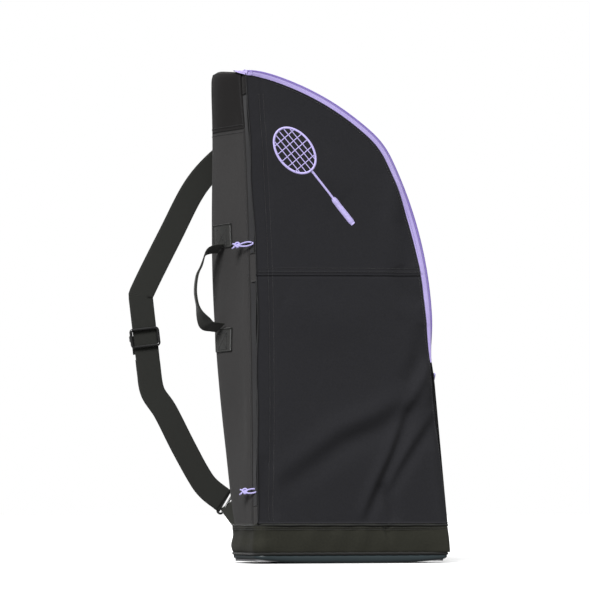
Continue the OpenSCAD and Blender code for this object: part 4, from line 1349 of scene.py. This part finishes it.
def box_stitches(centre, across, normal, width, height):
    """A sewn box with a cross in it."""
    w, h = width / 2, height / 2
    corners = [(-w, -h), (w, -h), (w, h), (-w, h), (-w, -h), (w, h)]
    lines = list(zip(corners, corners[1:])) + [((w, -h), (-w, h))]
    rows = []
    for a, b in lines:
        run = [centre + across * p[0] + UPWARD * p[1] for p in (a, b)]
        rows.append(stitch_arrays(resample(np.array(run), 12, 3), normal, 0.0036, 0.0026, 0.0003))
    return rows


def side_surface(y, z):
    """Point and outward normal of the left side panel at a depth and a height."""
    index = int(np.argmin(np.abs(OUTLINE[:CORNER, 1] - (z - BAND_TOP))))
    grid, _ = body_ring(np.arange(index - 2, index + 3), np.linspace(0, 1, 200))
    k = int(np.argmin(np.abs(grid[2, :, 1] - y)))
    return grid[2, k], surface_normals(grid)[2, k]


def handle_patches(pivot, half):
    """The two patches that follow the side panel above and below the grip, each with a sewn box."""
    patch_h, patch_w, middle_y = 0.034, 0.054, pivot.y - 0.0025
    stitches = []
    for sign, name in ((-1, "lower"), (1, "upper")):
        z_mid = pivot.z + sign * (half + 0.0045 + patch_h / 2)
        z = np.linspace(z_mid - patch_h / 2, z_mid + patch_h / 2, 12)
        y = np.linspace(middle_y - patch_w / 2, middle_y + patch_w / 2, 12)
        grid = np.empty((12, 12, 3))
        for i, zi in enumerate(z):
            for j, yj in enumerate(y):
                point, normal = side_surface(yj, zi)
                grid[i, j] = np.array([point[0], yj, zi]) + normal * 0.0019
        bag_sheet(name + "_handle_patch_webbing", grid, 0.0018, PATCH, np.stack(np.meshgrid(y, z), -1),
                  "webbing", *(["handle_patches"] if sign < 0 else []))
        point, normal = side_surface(middle_y, z_mid)
        across = unit(np.cross(UPWARD, normal))
        stitches += box_stitches(point + normal * 0.0021, across, normal, 0.028, 0.025)
    build("handle_stitching", stitches, THREAD, "bag", "webbing")


def handle():
    """The grip bows outwards between its patches and lies nearly flat against them at its ends."""
    pivot = Vector(next(j for j in frame["joints"] if j["name"] == "carry_handle_swing")["pos_m"])
    half = 0.0565                     # half the height between the patches
    handle_patches(pivot, half)
    bow = math.radians(6.14)
    out = np.array([-math.cos(bow), -math.sin(bow), 0])
    wide = np.cross(UPWARD, out)
    outline = [(-0.003, half + 0.003), (0.006, half + 0.002), (0.016, half - 0.0005), (0.0225, half - 0.006),
               (0.0290, half - 0.024), (0.0355, half * 0.34), (0.0385, half * 0.02),
               (0.0378, -half * 0.26), (0.0325, -half * 0.62), (0.0245, -half + 0.007),
               (0.0185, -half - 0.0005), (0.008, -half - 0.002), (-0.003, -half - 0.003)]
    bend = spline(outline, 8)
    path = np.array(pivot) + bend[:, :1] * out + bend[:, 1:] * UPWARD
    grip = smoothstep(np.abs(bend[:, 1]), half * 0.98, half * 0.40)
    tangent = tangents(path)
    roll = np.radians(-23 * (1 - grip) * np.sign(bend[:, 1]) - 19 * grip)
    face = unit(np.cross(wide, tangent))
    side = wide * np.cos(roll)[:, None] + face * np.sin(roll)[:, None]
    face = unit(np.cross(side, tangent))
    scale = np.stack([1 - 0.40 * grip, 1 + 0.9 * grip], -1)
    strip = sweep_arrays(path, side, face, flat_section(0.030, 0.0018), scale=scale)
    build("carry_handle_webbing", [strip], STRAP, "carry_handle", "webbing", "handle_webbing")


# ---------- Shoulder straps ----------

STRAP_W, STRAP_T = 0.038, 0.0018
INNER_W = STRAP_W - 0.002         # where the webbing doubles back it is drawn a little narrower
STRAP_Y = HALF_D + 0.0035
AXIS_Y = STRAP_Y + 0.0031
FOOT, TOP = np.array([-0.124, AXIS_Y, 0.066]), np.array([-0.062, AXIS_Y, 0.656])
UPPER_PATH = [(-0.080, 0.654), (-0.128, 0.624), (-0.180, 0.572), (-0.221, 0.496), (-0.252, 0.436)]
STRAIGHT_TOP, STRAIGHT_FOOT = np.array([-0.269, 0.401]), np.array([-0.251, 0.256])
LOWER_PATH = [(-0.2285, 0.226), (-0.2005, 0.174), (-0.176, 0.131), (-0.160, 0.1105)]
RING_POS, RING_DIR, RING_BAR = np.array([-0.1325, 0.0905]), np.array([0.85, -0.52]), 0.0042
DOWN = (STRAIGHT_FOOT - STRAIGHT_TOP) / np.hypot(*(STRAIGHT_FOOT - STRAIGHT_TOP))
ADJUSTER = STRAIGHT_TOP + DOWN * 0.064
RETURN_TOP = STRAIGHT_TOP + DOWN * 0.096
STRAND_GAP = 2 * (AXIS_Y - STRAP_Y)
RIGHT_TOP_X, RIGHT_FOLD = 0.010, 165


def strap_plane(points, y):
    points = np.asarray(points, float)
    return np.stack([points[:, 0], np.broadcast_to(y, len(points)), points[:, 1]], -1)


def strap_curves():
    """Main strand and return strand as centre lines in the strap's plane."""
    entry = RING_POS - RING_DIR * RING_BAR
    lower = [tuple(STRAIGHT_FOOT + np.array([0.002, 0]))] + LOWER_PATH + [tuple(entry)]
    upper = spline(UPPER_PATH + [tuple(STRAIGHT_TOP)], 8)
    tail = spline([tuple(STRAIGHT_TOP + DOWN * q) for q in (0.045, 0.064, 0.083, 0.105)] + lower, 10)
    main = resample(np.concatenate([upper, tail]), 200)
    kink = slice(20, 90)
    for _ in range(28):
        main[kink] = (main[19:89] + 2 * main[kink] + main[21:91]) / 4
    back = resample(spline([tuple(RETURN_TOP), tuple(RETURN_TOP + DOWN * 0.02)] + lower, 10), 110)
    return main, back


def strand(path, y, width, wobble):
    """A webbing strand in the strap's plane, with a little roll and lift along it."""
    line = strap_plane(path, y)
    tangent = tangents(line)
    t = np.linspace(0, 1, len(line))
    quiet = np.minimum(smoothstep(t, 0, 0.12), smoothstep(t, 1, 0.88))
    roll = wobble * np.sin(t * 9 + 1) * quiet
    flat = unit(np.cross(tangent, BACKWARD))
    side = flat * np.cos(roll)[:, None] + BACKWARD * np.sin(roll)[:, None]
    line = line + BACKWARD * (0.0006 * np.sin(t * 14) * quiet)[:, None]
    return sweep_arrays(line, side, unit(np.cross(tangent, side)), flat_section(width, STRAP_T))


def rounded_loop(half_x, half_z, corner, count):
    """A rectangle with round corners as rows of (x, z), with the outward direction at each row."""
    straight = np.array([half_x - corner, half_z - corner])
    loop, face = [], []
    for signs, first in (((1, 1), 0), ((-1, 1), 90), ((-1, -1), 180), ((1, -1), 270)):
        angle = np.radians(np.linspace(first, first + 90, count))
        turn = np.stack([np.cos(angle), np.sin(angle)], -1)
        loop.append(straight * signs + corner * turn)
        face.append(turn)
    return np.concatenate(loop), np.concatenate(face)


def strap_frame(place, y, direction):
    """Centre and axes (along the strap, across it) of hardware at a place in the strap's plane."""
    run = np.array([direction[0], 0, direction[1]]) / np.hypot(*direction)
    return np.array([place[0], y, place[1]]), run, np.cross(BACKWARD, run)


RING_CENTRE, RING_RUN, RING_SIDE = strap_frame(RING_POS, AXIS_Y, RING_DIR)


def ring_arrays():
    """A rectangular wire ring with round corners."""
    loop, _ = rounded_loop(STRAP_W / 2 + 0.0008, RING_BAR, 0.0035, 7)
    path = RING_CENTRE + loop[:, :1] * RING_SIDE + loop[:, 1:] * RING_RUN
    return [tube_arrays(path, 0.0017, 10, closed=True)]


def turned_webbing(centre, run, side, radius, legs, thickness, count):
    """Webbing folded round a bar across it: two legs along -run, joined by a half turn of a radius."""
    angle = np.linspace(0, math.pi, count)[:, None]
    turn = centre - BACKWARD * radius * np.cos(angle) + run * radius * np.sin(angle)
    near = [centre - BACKWARD * radius - run * leg for leg in legs]
    far = [centre + BACKWARD * radius - run * leg for leg in legs[::-1]]
    path = np.concatenate([near, turn[1:-1], far])
    normal = unit(np.cross(np.gradient(path, axis=0), side))
    return sweep_arrays(path, side, normal, flat_section(INNER_W, thickness))


def turn_arrays():
    """The webbing's turn round the ring's upper bar, between both strands."""
    bar = RING_CENTRE - RING_RUN * RING_BAR
    return [turned_webbing(bar, RING_RUN, RING_SIDE, STRAND_GAP / 2, (0.005, 0), STRAP_T * 0.96, 16)]


HOLDER, HOLDER_RUN, HOLDER_SIDE = strap_frame(ADJUSTER - np.array([0.0018, 0]), STRAP_Y, DOWN)
BAR_Y = STRAP_T * 1.5 + 0.0031    # the adjuster's middle bar lies this far behind its main strand


def adjuster_arrays():
    """Moulded three-bar adjuster: a rounded frame in front of the webbing and a middle bar behind it."""
    half_x, front = STRAP_W / 2 + 0.0024, STRAP_T / 2 + 0.0026
    loop, turn = rounded_loop(half_x, 0.013, 0.004, 8)
    path = HOLDER + loop[:, :1] * HOLDER_SIDE + loop[:, 1:] * HOLDER_RUN - BACKWARD * front
    face = turn[:, :1] * HOLDER_SIDE + turn[:, 1:] * HOLDER_RUN
    bars = [sweep_arrays(path, unit(face), BACKWARD, flat_section(0.0046, 0.0040, 5), closed=True)]
    reach = np.linspace(-half_x + 0.001, half_x - 0.001, 12)[:, None]
    middle = HOLDER + HOLDER_SIDE * reach + BACKWARD * BAR_Y
    bars.append(sweep_arrays(middle, HOLDER_RUN, BACKWARD, flat_section(0.0046, 0.0038, 5)))
    depth = np.linspace(-front, BAR_Y, 6)[:, None]
    for sign in (-1, 1):
        cheek = HOLDER + HOLDER_SIDE * sign * (half_x - 0.001) + BACKWARD * depth
        bars.append(sweep_arrays(cheek, HOLDER_RUN, HOLDER_SIDE, flat_section(0.0100, 0.0034, 5)))
    return bars


def end_loop_arrays():
    """The webbing's end turned round the adjuster's middle bar and sewn to itself."""
    return [turned_webbing(HOLDER + BACKWARD * BAR_Y, -HOLDER_RUN, HOLDER_SIDE, 0.0031,
                           np.linspace(0.024, 0.0, 8), STRAP_T * 0.85, 12)]


def loop_stitching():
    """Three short rows across the sewn end, on its rear."""
    across, rows = np.array([DOWN[1], -DOWN[0]]), []
    for along in (0.010, 0.014, 0.018):
        ends = [ADJUSTER + DOWN * along + across * w for w in (-0.012, 0.012)]
        rows.append(stitch_arrays(strap_plane(ends, STRAP_Y + BAR_Y + 0.0045), BACKWARD, 0.0032, 0.0024))
    return rows


def tab_arrays(foot, top):
    """Sewn tab from the base seam to the ring's lower bar."""
    path = spline([foot, foot + (top - foot) * 0.5 + BACKWARD * 0.0012, top], 10)
    tangent = tangents(path)
    side = unit(np.cross(tangent, BACKWARD))
    return [sweep_arrays(path, side, unit(np.cross(tangent, side)), flat_section(0.030, 0.0022))]


def right_transform():
    """Moves left strap parts to the right: mirrored, tilted to the right anchor and folded over the back."""
    length = np.linalg.norm(TOP - FOOT)
    left_tilt = math.atan2(TOP[0] - FOOT[0], TOP[2] - FOOT[2])
    right_tilt = math.asin((-FOOT[0] - RIGHT_TOP_X) / length)
    axis = Vector((-math.sin(right_tilt), 0, math.cos(right_tilt)))
    fold = Matrix.Rotation(math.radians(RIGHT_FOLD), 4, axis)
    turn = fold @ Matrix.Rotation(left_tilt - right_tilt, 4, "Y")
    mirror = Matrix.Diagonal((-1, 1, 1, 1)) @ Matrix.Translation(-Vector(FOOT))
    return Matrix.Translation((-FOOT[0], FOOT[1], FOOT[2])) @ turn @ mirror


def moved(arrays, matrix):
    """Arrays carried by a matrix; a mirror turns their faces round."""
    verts, faces, uvs = arrays
    m = np.array(matrix)
    verts = verts @ m[:3, :3].T + m[:3, 3]
    if np.linalg.det(m[:3, :3]) < 0:
        faces = [f[::-1] for f in faces]
    return verts, faces, uvs


def shoulder_strap(hand, matrix, tab_foot_x):
    """One strap: its pieces are made on the left side and carried by the matrix."""
    body, slider = hand + "_strap", hand + "_adjuster"

    def piece(name, parts, material, on, slot, *replaced):
        carried = [moved(part, matrix) for part in parts]
        return build(hand + "_strap_" + name, carried, material, on, slot, *[hand + end for end in replaced])

    main, back = strap_curves()
    outer = [strand(main, STRAP_Y, STRAP_W, 0.05)]
    outer = piece("main_webbing", outer, STRAP, None, "webbing", "_strap_webbing")
    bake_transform(outer)
    inner = strand(back, STRAP_Y + STRAND_GAP, INNER_W, 0.03)
    piece("return_webbing", [inner], STRAP, body, "webbing")
    piece("ring_turn", turn_arrays(), STRAP, body, "webbing")
    piece("ring_wire", ring_arrays(), BUCKLE, body, "buckle_plastic", "_strap_ring")
    piece("adjuster_frame", adjuster_arrays(), BUCKLE, slider, "buckle_plastic", "_strap_adjuster")
    piece("sewn_loop", end_loop_arrays(), STRAP, slider, "webbing", "_strap_end_loop")
    piece("loop_stitching", loop_stitching(), THREAD, slider, "webbing")
    foot = np.array([tab_foot_x, HALF_D - 0.004, BAND_TOP - 0.006])
    top = np.array(matrix @ Vector(RING_CENTRE + RING_RUN * (RING_BAR + 0.0006)))
    tab = build(hand + "_strap_tab_webbing", tab_arrays(foot, top), TAB, None, "tab_webbing",
                hand + "_strap_tab")
    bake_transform(tab)


def anchor_patch():
    low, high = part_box("strap_anchor_patch")
    x = np.linspace(low.x, high.x, 60)[:, None]
    limit = np.interp(x, OUTLINE[CORNER:][::-1, 0][::-1], OUTLINE[CORNER:, 1])
    top = np.minimum(np.linspace(low.z, high.z, 16), BAND_TOP + limit - 0.012)
    y = low.y + 0.0016 + 0.0003 * np.sin(x * 90) * np.sin(top * 120)
    bag_sheet("strap_anchor_patch_webbing", stacked(x, y, top)[::-1], 0.0015, STRAP, stacked(top, x)[::-1],
              "webbing", "strap_anchor_patch")
    rows = []
    for centre_x in (-0.082, 0.022):
        centre = np.array([centre_x, low.y + 0.0020, (low.z + high.z) / 2 - 0.004])
        rows += box_stitches(centre, -LEFTWARD, BACKWARD, 0.034, 0.028)
    build("strap_anchor_stitching", rows, THREAD, "bag", "webbing")


# ---------- Stage, light and camera ----------

def studio():
    world = bpy.data.worlds.new("studio")
    bpy.context.scene.world = world
    world.use_nodes = True
    tree = world.node_tree
    background = tree.nodes["Background"]
    background.inputs[0].default_value = (1, 1, 1, 1)
    seen = tree.nodes.new("ShaderNodeLightPath").outputs["Is Camera Ray"]
    strength = tree.nodes.new("ShaderNodeMapRange")
    strength.inputs["To Min"].default_value, strength.inputs["To Max"].default_value = 0.36, 1.0
    tree.links.new(seen, strength.inputs["Value"])
    tree.links.new(strength.outputs[0], background.inputs[1])
    s = Shader("pale_floor")
    tone = s.mix(s.noise(1.5), (0.92, 0.92, 0.92, 1), (0.95, 0.95, 0.95, 1))
    seen = s.put("ShaderNodeLightPath").outputs["Is Camera Ray"]
    tone = s.mix(seen, (0.22, 0.22, 0.22, 1), tone)
    s.done(tone, 0.9, s.bump(s.noise(300.0), 0.0002, 0.2), 0.0, 0.1)
    wide = 40.0
    grid = np.array([[(x, y, -0.0004) for x in (-wide, wide)] for y in (-wide, wide)])
    floor = make_mesh("floor", grid.reshape(-1, 3), [[0, 1, 3, 2]], s.material, grid.reshape(-1, 3)[:, :2])

    def lamp(name, place, angle, power):
        data = bpy.data.lights.new(name, "SUN")
        data.angle, data.energy = math.radians(angle), power
        obj = bpy.data.objects.new(name, data)
        obj.rotation_euler = Vector(place).to_track_quat("Z", "Y").to_euler()
        bpy.context.scene.collection.objects.link(obj)

    lamp("key", (-0.60, -0.80, 0.85), 24, 4.3)
    lamp("top", (0.30, 0.10, 1.0), 80, 0.9)
    lamp("rear", (0.35, 0.85, 0.60), 60, 1.2)

    view = np.array([0.3413, 0.9377, 0.0645])
    right = np.array([0.9397, -0.3420, 0.0])
    up = np.cross(right, view)
    distance, frame_width = 5.0, 0.885
    target = right * -0.0536 + up * 0.4008
    data = bpy.data.cameras.new("camera")
    data.sensor_width, data.lens = 36.0, 36.0 * distance / frame_width
    data.clip_start, data.clip_end = 0.1, 60
    camera = bpy.data.objects.new("camera", data)
    camera.location = target - view * distance
    camera.rotation_euler = Vector(view).to_track_quat("-Z", "Y").to_euler()
    bpy.context.scene.collection.objects.link(camera)
    bpy.context.scene.camera = camera
    bpy.context.scene.view_settings.view_transform = "Standard"


front_panels()
front_stitching()
print_mark()
back_rim = sides()
padded_back(back_rim)
base()
inner_walls()
zip_start(front_tape())
rear_tape()
tape_stitching()
pocket_zip("upper")
pocket_zip("lower")
sliders()
handle()
anchor_patch()
shoulder_strap("left", Matrix.Identity(4), -0.104)
shoulder_strap("right", right_transform(), 0.100)
studio()
